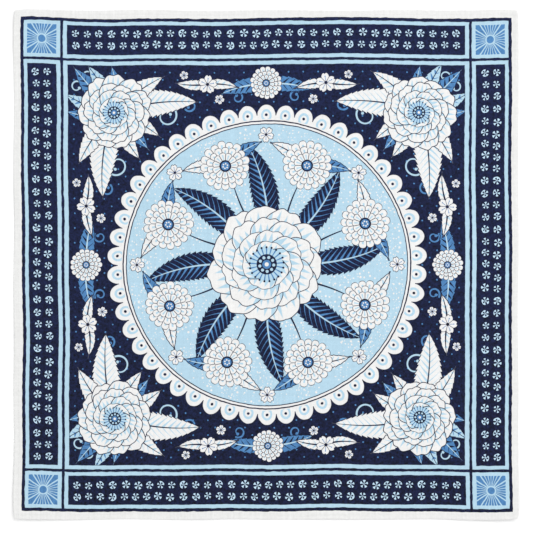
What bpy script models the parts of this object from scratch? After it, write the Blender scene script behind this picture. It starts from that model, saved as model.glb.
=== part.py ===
"""Bandana: one square of printed cotton with a narrow turned hem, lying flat.

The cloth is a single closed sheet. Its underside is level where it rests. Its corners and
short stretches of its hem lift a few millimetres, and a few low ridges cross the field.
Units are metres, +Z is up, and the origin is under the middle of the cloth. Seen from
above, +X is the right side of the cloth and +Y is its top side.
"""
import math
from collections import namedtuple

import bmesh
import bpy

# Finished cloth, hem included
WIDTH = 0.530
LENGTH = 0.535

# Thickness of the cloth and of its turned hem
CLOTH_THICK = 0.0010
HEM_THICK = 0.0016
HEM_WIDTH = 0.006
HEM_STEP = 0.003
FOLD_ROUND = 0.0003

# Grid: lines across the hem, then even cells over the field
FIELD_CELLS = 34
HEM_LINES = (0.0, 0.5 * HEM_WIDTH, HEM_WIDTH, HEM_WIDTH + HEM_STEP)

# The corners are a little soft: each draws in, and the draw fades along the sides
CORNER_DRAW = 0.0014
CORNER_FADE = 0.009

# Sides that wander: each draws in a little towards its middle and ripples along its length
Side = namedtuple("Side", "name draw ripple waves phase")
SIDES = (
    Side("left", 0.0004, 0.00035, 4.5, 0.6),
    Side("right", 0.0005, 0.00030, 3.5, 2.1),
    Side("bottom", 0.0004, 0.00035, 5.0, 4.0),
    Side("top", 0.0006, 0.00045, 4.0, 1.2),
)

# Corners that curl up: which corner, how high, and how far in along the diagonal.
# A power near 1 makes each rise almost evenly from a soft crease.
CURL_POWER = 1.25
Corner = namedtuple("Corner", "side_x side_y height reach")
CORNERS = (
    Corner(-1, 1, 0.0030, 0.050),
    Corner(1, 1, 0.0034, 0.056),
    Corner(-1, -1, 0.0042, 0.062),
    Corner(1, -1, 0.0050, 0.070),
)

# Stretches of hem that lift: where along the side, half length, height, and depth inward
Lift = namedtuple("Lift", "side place half_length height depth")
LIFTS = (
    Lift("left", -0.055, 0.060, 0.0010, 0.035),
    Lift("left", 0.075, 0.045, 0.0008, 0.030),
    Lift("right", 0.030, 0.080, 0.0012, 0.040),
    Lift("bottom", -0.065, 0.055, 0.0010, 0.035),
    Lift("bottom", 0.070, 0.050, 0.0014, 0.040),
    Lift("top", 0.020, 0.085, 0.0010, 0.035),
)

# Low ridges left in the field: middle, direction, half length, half width and height
Ridge = namedtuple("Ridge", "x y turn half_length half_width height")
RIDGES = (
    Ridge(-0.120, 0.105, 62, 0.110, 0.034, 0.0009),
    Ridge(0.145, 0.070, -38, 0.120, 0.036, 0.0008),
    Ridge(-0.070, -0.150, 12, 0.130, 0.034, 0.0009),
    Ridge(0.160, -0.130, 78, 0.090, 0.036, 0.0010),
)

# Colour of the print as it reads from a step away
CLOTH_COLOUR = (0.40, 0.47, 0.53, 1.0)
CLOTH_ROUGHNESS = 0.9


def remove_scene_objects():
    """Empty the scene of whatever a new file holds."""
    for obj in list(bpy.data.objects):
        bpy.data.objects.remove(obj, do_unlink=True)


def new_collection(name):
    """Add a collection to the scene."""
    collection = bpy.data.collections.new(name)
    bpy.context.scene.collection.children.link(collection)
    return collection


def cloth_material(name, colour, roughness):
    """Plain matt cotton."""
    material = bpy.data.materials.new(name)
    material.use_nodes = True
    shader = material.node_tree.nodes["Principled BSDF"]
    shader.inputs["Base Color"].default_value = colour
    shader.inputs["Roughness"].default_value = roughness
    shader.inputs["Metallic"].default_value = 0.0
    material.diffuse_color = colour
    return material


def swell(t):
    """A smooth hump: 1 at t = 0, and level with the ground from t = 1 or -1 outward."""
    return (1.0 - t * t) ** 2 if abs(t) < 1.0 else 0.0


def grid_line(step, cells, size):
    """Place of a grid line along a side: hem lines at both ends, even cells between."""
    hem_cells = len(HEM_LINES) - 1
    if step <= hem_cells:
        return HEM_LINES[step] - 0.5 * size
    if step >= cells - hem_cells:
        return 0.5 * size - HEM_LINES[cells - step]
    share = (step - hem_cells) / (cells - 2 * hem_cells)
    span = size - 2.0 * HEM_LINES[-1]
    return (share - 0.5) * span


def side_wander(side, along, size):
    """How far a side stands out from its straight line, at a place along it."""
    share = along / size + 0.5
    draw = side.draw * math.sin(math.pi * share)
    ripple = side.ripple * math.sin(2.0 * math.pi * side.waves * share + side.phase)
    return ripple - draw


def outline_shift(x, y):
    """Sideways shift of a point, so that all four sides wander and the corners draw in."""
    wander = {}
    for side in SIDES:
        upright = side.name in ("left", "right")
        wander[side.name] = side_wander(side, y if upright else x, LENGTH if upright else WIDTH)
    share_x = x / WIDTH + 0.5
    share_y = y / LENGTH + 0.5
    shift_x = share_x * wander["right"] - (1.0 - share_x) * wander["left"]
    shift_y = share_y * wander["top"] - (1.0 - share_y) * wander["bottom"]
    from_corner = math.hypot(0.5 * WIDTH - abs(x), 0.5 * LENGTH - abs(y))
    draw = CORNER_DRAW * math.exp(-from_corner / CORNER_FADE)
    shift_x -= math.copysign(draw, x)
    shift_y -= math.copysign(draw, y)
    return shift_x, shift_y


def corner_curl(corner, x, y):
    """Height of one corner's curl, which falls away along the cloth's diagonal."""
    in_x = 0.5 * WIDTH - corner.side_x * x
    in_y = 0.5 * LENGTH - corner.side_y * y
    along = (in_x + in_y) / math.sqrt(2.0)
    return corner.height * max(0.0, 1.0 - along / corner.reach) ** CURL_POWER


def hem_lift(lift, x, y):
    """Height of one lifted stretch of hem."""
    inward, along = {
        "left": (0.5 * WIDTH + x, y),
        "right": (0.5 * WIDTH - x, y),
        "bottom": (0.5 * LENGTH + y, x),
        "top": (0.5 * LENGTH - y, x),
    }[lift.side]
    return lift.height * swell((along - lift.place) / lift.half_length) * swell(inward / lift.depth)


def field_ridge(ridge, x, y):
    """Height of one low ridge in the field."""
    turn = math.radians(ridge.turn)
    along = (x - ridge.x) * math.cos(turn) + (y - ridge.y) * math.sin(turn)
    across = (y - ridge.y) * math.cos(turn) - (x - ridge.x) * math.sin(turn)
    return ridge.height * swell(along / ridge.half_length) * swell(across / ridge.half_width)


def underside_height(x, y):
    """Height of the cloth's underside over the surface that it lies on."""
    height = sum(corner_curl(corner, x, y) for corner in CORNERS)
    height += sum(hem_lift(lift, x, y) for lift in LIFTS)
    height += sum(field_ridge(ridge, x, y) for ridge in RIDGES)
    return height


def hem_share(x, y):
    """1 on the hem, 0 on the single layer, and a slope between them."""
    inward = min(0.5 * WIDTH - abs(x), 0.5 * LENGTH - abs(y))
    return min(1.0, max(0.0, 1.0 - (inward - HEM_WIDTH) / HEM_STEP))


def centre_outline(vertices):
    """Move the points so that the middle of their outline stands on the origin."""
    for axis in (0, 1):
        places = [vertex.co[axis] for vertex in vertices]
        middle = 0.5 * (min(places) + max(places))
        for vertex in vertices:
            vertex.co[axis] -= middle


def underside_mesh(name):
    """The cloth's underside as an open grid, and each point's share of hem."""
    cells = FIELD_CELLS + 2 * (len(HEM_LINES) - 1)
    bm = bmesh.new()
    bmesh.ops.create_grid(bm, x_segments=cells, y_segments=cells, size=0.5 * cells)
    bm.verts.ensure_lookup_table()
    shares = []
    for vertex in bm.verts:
        x = grid_line(round(vertex.co.x + 0.5 * cells), cells, WIDTH)
        y = grid_line(round(vertex.co.y + 0.5 * cells), cells, LENGTH)
        shift_x, shift_y = outline_shift(x, y)
        vertex.co = (x + shift_x, y + shift_y, underside_height(x, y))
        shares.append(hem_share(x, y))
    centre_outline(bm.verts)
    mesh = bpy.data.meshes.new(name)
    bm.to_mesh(mesh)
    bm.free()
    return mesh, shares


def make_cloth(name, collection, material):
    """The hemmed square: the underside, thickened upward, with its folded edges rounded."""
    mesh, shares = underside_mesh(name)
    mesh.materials.append(material)
    mesh.shade_smooth()
    cloth = bpy.data.objects.new(name, mesh)
    collection.objects.link(cloth)

    hem = cloth.vertex_groups.new(name="hem")
    for index, share in enumerate(shares):
        hem.add([index], share, "REPLACE")

    thicken = cloth.modifiers.new("cloth thickness", "SOLIDIFY")
    thicken.thickness = HEM_THICK
    thicken.offset = 1.0
    thicken.vertex_group = hem.name
    thicken.thickness_vertex_group = CLOTH_THICK / HEM_THICK

    fold = cloth.modifiers.new("folded edge", "BEVEL")
    fold.width = FOLD_ROUND
    fold.segments = 1
    fold.limit_method = "ANGLE"
    fold.angle_limit = math.radians(50)
    return cloth


def build():
    """Build the bandana in its own collection."""
    remove_scene_objects()
    collection = new_collection("bandana")
    cotton = cloth_material("printed cotton", CLOTH_COLOUR, CLOTH_ROUGHNESS)
    make_cloth("cloth", collection, cotton)


build()
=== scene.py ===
# %% [markdown]
# # A printed cotton bandana
#
# A bandana is one square of thin plain-weave cotton. Its design is screen printed in three blues on
# white, and its four sides are turned under and sewn in a narrow hem. Here the cloth is a thin sheet
# with two faces. All of its print is worked out by formula, in millimetres of cloth, so that each
# edge of the print stays crisp however close the camera comes.
#
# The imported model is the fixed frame: it gives the size of the cloth and the place where it lies.

# %% Load the frame
import math
from collections import namedtuple

import bpy
import numpy as np
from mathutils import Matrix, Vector


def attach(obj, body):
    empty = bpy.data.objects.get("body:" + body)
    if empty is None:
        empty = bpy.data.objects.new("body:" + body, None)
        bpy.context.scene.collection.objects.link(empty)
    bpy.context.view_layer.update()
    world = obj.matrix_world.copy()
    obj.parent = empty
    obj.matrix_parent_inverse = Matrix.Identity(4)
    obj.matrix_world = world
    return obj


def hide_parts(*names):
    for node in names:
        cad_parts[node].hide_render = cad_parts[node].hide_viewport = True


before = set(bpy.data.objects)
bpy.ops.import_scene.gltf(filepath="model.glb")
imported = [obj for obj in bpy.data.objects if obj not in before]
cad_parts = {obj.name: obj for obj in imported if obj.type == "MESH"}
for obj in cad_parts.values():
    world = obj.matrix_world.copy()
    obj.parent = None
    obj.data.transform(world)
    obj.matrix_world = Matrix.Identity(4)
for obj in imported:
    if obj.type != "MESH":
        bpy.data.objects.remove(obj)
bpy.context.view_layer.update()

scene = bpy.context.scene

# %% [markdown]
# ## The camera
#
# The photograph looks straight down at the cloth, and its sides are parallel, so the camera was far
# away. A long lens 2.5 m above the cloth gives that view. The lens is worked out from the strip of
# table that the picture spans, which is a little wider than the cloth.

# %% Camera straight above the cloth
PICTURE_WIDTH = 0.5597
PICTURE_CENTRE = (0.0004, -0.0018)
CAMERA_HEIGHT = 2.5


def top_camera(name):
    """A camera that looks straight down: lens = sensor width x distance / width of the picture."""
    data = bpy.data.cameras.new(name)
    data.sensor_width = 36.0
    data.lens = data.sensor_width * CAMERA_HEIGHT / PICTURE_WIDTH
    data.clip_start = 0.1
    data.clip_end = 20.0
    camera = bpy.data.objects.new(name, data)
    camera.location = (*PICTURE_CENTRE, CAMERA_HEIGHT)
    scene.collection.objects.link(camera)
    return camera


scene.camera = top_camera("camera above")
print("lens in mm:", round(scene.camera.data.lens, 1))

# %% [markdown]
# ## The shape of the cloth
#
# The real cloth is about a third of a millimetre thick, and its hem is three layers of it, with more
# where two hems cross in a corner. It lies almost flat: the corners curl up by a few millimetres,
# short stretches of the hem lift by one, and a few low ridges are left in the field. Each side also
# wanders by half a millimetre.
#
# It could be a plane with a displacement texture, but then nothing would be in a known place. So
# these forms are short tables, the same as on the solid of the frame, and each is a smooth formula.

# %% Sizes of the cloth, in metres
WIDTH = 0.530
LENGTH = 0.535
CLOTH_THICK = 0.00035
HEM_THICK = 0.00095
HEM_CROSSING = 0.00035
HEM_WIDTH = 0.006
HEM_SETTLES = 0.0055
FOLD = 0.5 * HEM_THICK

CORNER_DRAW = 0.0014
CORNER_FADE = 0.009
CURL_POWER = 1.25

Side = namedtuple("Side", "name draw ripple waves phase")
SIDES = (
    Side("left", 0.0004, 0.00035, 4.5, 0.6),
    Side("right", 0.0005, 0.00030, 3.5, 2.1),
    Side("bottom", 0.0004, 0.00035, 5.0, 4.0),
    Side("top", 0.0006, 0.00045, 4.0, 1.2),
)

Corner = namedtuple("Corner", "side_x side_y height reach")
CORNERS = (
    Corner(-1, 1, 0.0030, 0.050),
    Corner(1, 1, 0.0034, 0.056),
    Corner(-1, -1, 0.0042, 0.062),
    Corner(1, -1, 0.0050, 0.070),
)

Lift = namedtuple("Lift", "side place half_length height depth")
LIFTS = (
    Lift("left", -0.055, 0.060, 0.0010, 0.035),
    Lift("left", 0.075, 0.045, 0.0008, 0.030),
    Lift("right", 0.030, 0.080, 0.0012, 0.040),
    Lift("bottom", -0.065, 0.055, 0.0010, 0.035),
    Lift("bottom", 0.070, 0.050, 0.0014, 0.040),
    Lift("top", 0.020, 0.085, 0.0010, 0.035),
)

Ridge = namedtuple("Ridge", "x y turn half_length half_width height")
RIDGES = (
    Ridge(-0.120, 0.105, 62, 0.110, 0.034, 0.0009),
    Ridge(0.145, 0.070, -38, 0.120, 0.036, 0.0008),
    Ridge(-0.070, -0.150, 12, 0.130, 0.034, 0.0009),
    Ridge(0.160, -0.130, 78, 0.090, 0.036, 0.0010),
)
print("forms on the cloth:", len(CORNERS), "curls,", len(LIFTS), "lifts,", len(RIDGES), "ridges")

# %% [markdown]
# ## Height and outline as formulas
#
# Each form becomes a function that takes any places on the flat cloth and gives their heights, or the
# places where they come to lie. The faces, the folded edge and the stitches all ask the same
# functions, so they fit each other. A sculpted mesh could look the same, but then the stitches
# wouldn't know where the cloth is.

# %% Height of the cloth's underside


def swell(t):
    """A smooth hump: (1 - t squared) squared between -1 and 1, and nothing outside."""
    return np.clip(1.0 - t * t, 0.0, None) ** 2


def ramp(value, start, end):
    """0 up to start, 1 from end on, and a smooth slope between: 3 t squared - 2 t cubed."""
    t = np.clip((value - start) / (end - start), 0.0, 1.0)
    return t * t * (3.0 - 2.0 * t)


def inward_of(side, x, y):
    """Distance in from one side, and the place along it."""
    return {
        "left": (0.5 * WIDTH + x, y),
        "right": (0.5 * WIDTH - x, y),
        "bottom": (0.5 * LENGTH + y, x),
        "top": (0.5 * LENGTH - y, x),
    }[side]


def resting_height(x, y):
    """Height of the cloth's underside: the sum of the corners' curls, the hem's lifts and the ridges."""
    height = np.zeros_like(x)
    for c in CORNERS:
        along = (WIDTH / 2 - c.side_x * x + LENGTH / 2 - c.side_y * y) / math.sqrt(2.0)
        height += c.height * np.clip(1.0 - along / c.reach, 0.0, None) ** CURL_POWER
    for lift in LIFTS:
        inward, along = inward_of(lift.side, x, y)
        height += lift.height * swell((along - lift.place) / lift.half_length) * swell(inward / lift.depth)
    for r in RIDGES:
        cos, sin = math.cos(math.radians(r.turn)), math.sin(math.radians(r.turn))
        along = (x - r.x) * cos + (y - r.y) * sin
        across = (y - r.y) * cos - (x - r.x) * sin
        height += r.height * swell(along / r.half_length) * swell(across / r.half_width)
    return height


tips = np.array([(0.5 * WIDTH * c.side_x, 0.5 * LENGTH * c.side_y) for c in CORNERS])
print("the corners' tips lift by, in mm:", np.round(1000 * resting_height(*tips.T), 2))

# %% Outline of the cloth


def wander(side, along, size):
    """How far a side stands out from its straight line: a slow ripple less a draw towards its middle."""
    share = along / size + 0.5
    ripple = side.ripple * np.sin(2.0 * np.pi * side.waves * share + side.phase)
    return ripple - side.draw * np.sin(np.pi * share)


def laid_outline(x, y):
    """The place where a point of the cloth lies: each side's wander fades across to the side facing it,
    and the corners draw in by an amount that falls off with distance from the corner's point."""
    off = {}
    for side in SIDES:
        along, size = (y, LENGTH) if side.name in ("left", "right") else (x, WIDTH)
        off[side.name] = wander(side, along, size)
    share_x, share_y = x / WIDTH + 0.5, y / LENGTH + 0.5
    shift_x = share_x * off["right"] - (1.0 - share_x) * off["left"]
    shift_y = share_y * off["top"] - (1.0 - share_y) * off["bottom"]
    draw = CORNER_DRAW * np.exp(-np.hypot(0.5 * WIDTH - abs(x), 0.5 * LENGTH - abs(y)) / CORNER_FADE)
    return x + shift_x - np.sign(x) * draw, y + shift_y - np.sign(y) * draw


print("the corners' tips lie at, in mm:", np.round(1000 * np.array(laid_outline(*tips.T)).T, 1).tolist())

# %% [markdown]
# ## Small unevenness
#
# Cotton that has been washed and pressed is never quite level. Broad waves about a tenth of a
# millimetre high run through the field, and the sewing puckers the hem every centimetre or so. Both
# are sums of a few sine waves whose directions and phases come from a seeded generator, so the cloth
# comes out the same each time.

# %% Waves in the field and puckers along the hem
rng = np.random.default_rng(21)
FIELD_WAVES = 14
FIELD_WAVE_HEIGHT = 0.00003
FIELD_WAVE_LENGTHS = (0.024, 0.070)
PUCKER_LENGTHS = (0.0085, 0.0117, 0.0193)
PUCKER_HEIGHT = 0.00007
PUCKER_REACH = 0.008
STITCH_LINE = 0.0049

wave_turn = rng.uniform(0.0, 2.0 * np.pi, FIELD_WAVES)
wave_length = rng.uniform(*FIELD_WAVE_LENGTHS, FIELD_WAVES)
wave_phase = rng.uniform(0.0, 2.0 * np.pi, FIELD_WAVES)
pucker_phase = rng.uniform(0.0, 2.0 * np.pi, (len(SIDES), len(PUCKER_LENGTHS)))


def field_waves(x, y):
    """Sum of sine waves of mixed direction and length, raised so that it never goes below nothing."""
    total = np.zeros_like(x)
    for turn, length, phase in zip(wave_turn, wave_length, wave_phase):
        total += np.sin(2.0 * np.pi * (x * np.cos(turn) + y * np.sin(turn)) / length + phase)
    return FIELD_WAVE_HEIGHT * (total + 0.5 * FIELD_WAVES).clip(0.0)


def hem_puckers(x, y):
    """Short ripples along each side, highest just inside the stitches, gone 14 mm in."""
    total = np.zeros_like(x)
    for phases, side in zip(pucker_phase, SIDES):
        inward, along = inward_of(side.name, x, y)
        ripple = sum(np.sin(2.0 * np.pi * along / d + p) for d, p in zip(PUCKER_LENGTHS, phases))
        total += (ripple / len(PUCKER_LENGTHS)) * swell((inward - STITCH_LINE - 0.001) / PUCKER_REACH)
    return PUCKER_HEIGHT * total


print("field waves, shortest and longest in mm:", np.round(1000 * np.sort(wave_length)[[0, -1]]))

# %% [markdown]
# ## Thickness
#
# A hem is turned twice, so it has three layers, and they all lie below the top one. Seen from above,
# the cloth steps down inside the hem, and it bridges that step for a few millimetres because it is too
# stiff to fold sharply. A Solidify modifier could give one thickness, or a painted one. Here underside
# and top are two formulas, so that the step is sharp below and soft above.

# %% Underside and top of the cloth
SEAM_GROOVE = 0.00012
GROOVE_HALF = 0.0008
STEP_HALF = 0.0002
CROSSING_STEP = (HEM_WIDTH - 0.0005, HEM_WIDTH + 0.0010)


def sheet_heights(x, y):
    """Underside and top of the cloth. On the hem the layers below lift the top by their thickness, and
    just inside it the single layer bridges that step and settles within a few millimetres. Where two
    hems cross there are more layers. The stitches draw a shallow groove."""
    from_sides = 0.5 * WIDTH - abs(x), 0.5 * LENGTH - abs(y)
    inward, further = np.minimum(*from_sides), np.maximum(*from_sides)
    extra = HEM_THICK - CLOTH_THICK
    crossing = HEM_CROSSING * (1.0 - ramp(further, *CROSSING_STEP))
    base = resting_height(x, y) + field_waves(x, y)
    top = base + CLOTH_THICK + extra * (1.0 - ramp(inward, HEM_WIDTH, HEM_WIDTH + HEM_SETTLES))
    top += crossing + hem_puckers(x, y)
    top -= sum(SEAM_GROOVE * swell((d - STITCH_LINE) / GROOVE_HALF) for d in from_sides)
    layers = CLOTH_THICK + extra * (1.0 - ramp(inward, HEM_WIDTH - STEP_HALF, HEM_WIDTH + STEP_HALF))
    return np.maximum(top - layers - crossing, 0.0), top


tip_under, tip_top = sheet_heights(*tips.T)
print("thickness at the corners' tips, in mm:", np.round(1000 * (tip_top - tip_under), 2))

# %% [markdown]
# ## The grid
#
# The grid has close lines across the hem, where the height changes quickly, and even cells over the
# field. The two faces share it. An even grid would need many times the faces to show the hem.

# %% Lines of the grid and its faces
CELL = 0.0027
HEM_LINES = np.array((FOLD, 0.0009, 0.0020, 0.0033, 0.0042, 0.0049, 0.0056, 0.00595, 0.0063, 0.0078, 0.0102))


def hem_to_hem(size):
    """Grid places along one direction: the hem's lines at both ends, and even cells between them."""
    count = round((size - 2.0 * HEM_LINES[-1]) / CELL)
    inner = np.linspace(HEM_LINES[-1] - size / 2, size / 2 - HEM_LINES[-1], count + 1)
    return np.concatenate((HEM_LINES[:-1] - size / 2, inner, (size / 2 - HEM_LINES[:-1])[::-1]))


def around(columns, rows):
    """Grid indices of the outline, anticlockwise from the lower left corner."""
    i = np.concatenate((np.arange(columns - 1), np.full(rows - 1, columns - 1),
                        np.arange(columns - 1, 0, -1), np.zeros(rows - 1, int)))
    j = np.concatenate((np.zeros(columns - 1, int), np.arange(rows - 1),
                        np.full(columns - 1, rows - 1), np.arange(rows - 1, 0, -1)))
    return i, j


def grid_quads(index):
    """Four corner indices for each cell of a two-dimensional array of vertex indices."""
    return np.stack((index[:-1, :-1], index[1:, :-1], index[1:, 1:], index[:-1, 1:]), -1).reshape(-1, 4)


grid_x, grid_y = np.meshgrid(hem_to_hem(WIDTH), hem_to_hem(LENGTH), indexing="ij")
columns, rows = grid_x.shape
laid_x, laid_y = laid_outline(grid_x, grid_y)
under, top = sheet_heights(grid_x, grid_y)
print("cloth grid:", columns, "by", rows, "lines")

# %% [markdown]
# ## The folded edge
#
# The cloth turns over at its edge in a small half round. It is a profile carried along the outline,
# with its first row on the top face and its last on the underside, so the sheet has no open edge. A
# Bevel modifier could round it too, but these rows also take part in the maps further on.

# %% Rows of the fold, and the whole sheet
FOLD_STEPS = 5

ring_i, ring_j = around(columns, rows)
out_x = np.where(ring_i == 0, -1.0, np.where(ring_i == columns - 1, 1.0, 0.0))
out_y = np.where(ring_j == 0, -1.0, np.where(ring_j == rows - 1, 1.0, 0.0))
out_x, out_y = out_x / np.hypot(out_x, out_y), out_y / np.hypot(out_x, out_y)

# The profile of the fold: out = radius x cos(angle), up = half the thickness x sin(angle)
angles = np.linspace(0.5 * np.pi, -0.5 * np.pi, FOLD_STEPS + 1)[1:-1, None]
edge_top, edge_under = top[ring_i, ring_j], under[ring_i, ring_j]
fold_x = laid_x[ring_i, ring_j] + FOLD * np.cos(angles) * out_x
fold_y = laid_y[ring_i, ring_j] + FOLD * np.cos(angles) * out_y
fold_z = 0.5 * (edge_top + edge_under) + 0.5 * (edge_top - edge_under) * np.sin(angles)

points = np.concatenate((
    np.stack((laid_x, laid_y, top), -1).reshape(-1, 3),
    np.stack((laid_x, laid_y, under), -1).reshape(-1, 3),
    np.stack((fold_x, fold_y, fold_z), -1).reshape(-1, 3),
))
outline_middle = 0.5 * (points[:, :2].max(0) + points[:, :2].min(0))
points[:, :2] -= outline_middle

face_index = np.arange(columns * rows).reshape(columns, rows)
fold_index = 2 * columns * rows + np.arange(fold_x.size).reshape(fold_x.shape)
rings = np.concatenate((
    face_index[None, ring_i, ring_j],
    fold_index,
    face_index[None, ring_i, ring_j] + columns * rows,
))
rings = np.concatenate((rings, rings[:, :1]), 1)

top_quads = grid_quads(face_index)
under_quads = grid_quads(face_index)[:, ::-1] + columns * rows
fold_quads = grid_quads(rings)
quads = np.concatenate((top_quads, under_quads, fold_quads))
print("two faces and", FOLD_STEPS - 1, "rows of fold:", 2 * len(quads), "triangles")

# %% [markdown]
# ## From arrays to a mesh
#
# Blender can add points and faces one by one, which is slow for a hundred thousand of them. Its
# foreach_set takes each whole array at once. Smooth shading then blends the light from face to face.

# %% A mesh from arrays


def mesh_from_quads(name, points, quads):
    """Fill a mesh with whole arrays: point places, the four corners of each face, and smooth shading."""
    mesh = bpy.data.meshes.new(name)
    mesh.vertices.add(len(points))
    mesh.vertices.foreach_set("co", points.astype(np.float32).ravel())
    mesh.loops.add(quads.size)
    mesh.loops.foreach_set("vertex_index", quads.astype(np.int32).ravel())
    mesh.polygons.add(len(quads))
    mesh.polygons.foreach_set("loop_start", np.arange(0, quads.size, 4, dtype=np.int32))
    mesh.polygons.foreach_set("loop_total", np.full(len(quads), 4, np.int32))
    mesh.update(calc_edges=True)
    mesh.shade_smooth()
    return mesh


cloth_mesh = mesh_from_quads("cloth_printed", points, quads)
cloth = bpy.data.objects.new("cloth_printed", cloth_mesh)
scene.collection.objects.link(cloth)
print("mesh valid:", not cloth_mesh.validate(), "size in mm:", np.round(1000 * np.ptp(points, 0), 2))

# %% [markdown]
# ## The map that the print reads
#
# The print has to follow the cloth and not the room, so it reads a map of the flat cloth, measured
# before the sides wander: 0 to 1 across the width and up the length. Both faces use the same places,
# and so the back shows the print reversed, as thin cotton does. The cloth had crept a little under
# the screen: along each side the whole border stands up to 2 mm off its straight line. So the map is
# moved back by that creep, which is set to a quarter of a millimetre at seven places along each side.

# %% Map of the printed place
PLACES_ALONG = (-0.9, -0.6, -0.3, 0.0, 0.3, 0.6, 0.9)
CREEP = {
    "left": (1.5, 1.5, 2.25, 1.25, 0.5, 0.0, 0.0),
    "right": (0.75, 0.0, 0.5, 0.75, 0.0, 0.0, 0.0),
    "bottom": (0.5, -0.75, 0.0, -0.25, 0.5, -0.25, -0.5),
    "top": (1.25, -1.0, 0.0, 0.0, 2.0, -0.5, 0.0),
}


def creep_of_print(share_x, share_y):
    """Shift of the print to the right and upward, as shares of the cloth. To the right it is the left
    side's creep at this height, blended into the right side's across the cloth, and upward likewise."""
    along_x, along_y = 2.0 * share_x - 1.0, 2.0 * share_y - 1.0
    at = {side: 0.001 * np.interp(along_y if side in ("left", "right") else along_x, PLACES_ALONG, values)
          for side, values in CREEP.items()}
    right = (1.0 - share_x) * at["left"] + share_x * at["right"]
    up = (1.0 - share_y) * at["bottom"] + share_y * at["top"]
    return np.stack((right / WIDTH, up / LENGTH), -1)


def on_every_face(place):
    """Values at the corners of all faces: the two faces share the grid's, and the fold has the outline's."""
    fold_place = np.tile(place[ring_i, ring_j], (FOLD_STEPS - 1, 1))
    return np.concatenate((place.reshape(-1, 2), place.reshape(-1, 2), fold_place))[quads]


flat_place = np.stack((grid_x / WIDTH + 0.5, grid_y / LENGTH + 0.5), -1)
corner_place = on_every_face(flat_place)
printed_place = on_every_face(flat_place - creep_of_print(flat_place[..., 0], flat_place[..., 1]))
print("the print is moved by up to", max(map(max, CREEP.values())), "mm")

# %% [markdown]
# ## A map for a painted copy
#
# The second map is for a painted copy of the colours, so no two faces may overlap on it. Blender's
# own unwrapping would scatter the faces. Here the front has the largest part of the square, the two
# halves of the back stand in a column beside it, and the folded edge lies above it in four strips.

# %% Map of the painted copy
FRONT_SHARE = 0.78
BACK_SHARE = 0.41
HALVES_APART = 0.02
GUTTER = 0.004
STRIP_PITCH = 0.04
STRIP_WIDTH = 0.03


def painted_copy_map():
    """Scale and move the flat map's places into separate fields of the unit square, face by face."""
    placed = np.empty_like(corner_place)
    tops = slice(0, len(top_quads))
    unders = slice(len(top_quads), len(top_quads) + len(under_quads))
    folds = slice(len(top_quads) + len(under_quads), None)
    placed[tops] = GUTTER + FRONT_SHARE * corner_place[tops]
    back = corner_place[unders]
    upper = (back[:, :, 1].mean(1) > 0.5)[:, None]
    column = FRONT_SHARE + 2.0 * GUTTER
    placed[unders, :, 0] = column + BACK_SHARE * np.where(upper, back[..., 1] - 0.5, back[..., 1])
    up_the_column = np.where(upper, back[..., 0] + 1.0 + HALVES_APART, back[..., 0])
    placed[unders, :, 1] = GUTTER + BACK_SHARE * up_the_column
    steps = len(ring_i)
    side = np.repeat([0, 1, 2, 3], [columns - 1, rows - 1, columns - 1, rows - 1])
    start = np.array((0, columns - 1, columns + rows - 2, 2 * columns + rows - 3))
    length = np.array((columns - 1, rows - 1, columns - 1, rows - 1))
    step = np.arange(steps)
    ring, along = np.divmod(np.arange(len(fold_quads)), steps)
    first = (step - start[side])[along] / length[side][along]
    last = (step - start[side] + 1)[along] / length[side][along]
    row_height = STRIP_WIDTH / FOLD_STEPS
    lower = FRONT_SHARE + STRIP_WIDTH + STRIP_PITCH * side[along] + ring * row_height
    upper_row = lower + row_height
    placed[folds, :, 0] = GUTTER + FRONT_SHARE * np.stack((first, first, last, last), 1)
    placed[folds, :, 1] = np.stack((lower, upper_row, upper_row, lower), 1)
    return placed


for name, places in (("printed_place", printed_place), ("OFBake", painted_copy_map())):
    layer = cloth_mesh.uv_layers.new(name=name)
    layer.uv.foreach_set("vector", places.astype(np.float32).ravel())
    print("map", name, "spans", np.round(places.min((0, 1)), 3), "to", np.round(places.max((0, 1)), 3))
cloth_mesh.uv_layers["printed_place"].active = True
cloth_mesh.uv_layers["printed_place"].active_render = True

# %% [markdown]
# ## The hem's stitches
#
# One row of lockstitches holds each hem, a millimetre inside its inner fold. The sides are hemmed one
# after the other, so each row runs on to the cloth's edge and crosses the next one in the corner. From
# above, each stitch is a short thread that bows out of the cloth and dives back into it at both ends.
# Bump could draw them, but from close by a stitch throws its own small shadow. So they are a mesh of
# six-sided threads, all placed by the cloth's own height and outline.

# %% Threads of one seam
STITCH_LENGTH = 0.0023
STITCH_PITCH = 0.0026
STITCH_DRIFT = 0.00004
THREAD_RADIUS = 0.00016
THREAD_ENDS = 0.6
STITCH_STEPS = 5
STITCH_SIDES = 6


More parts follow.
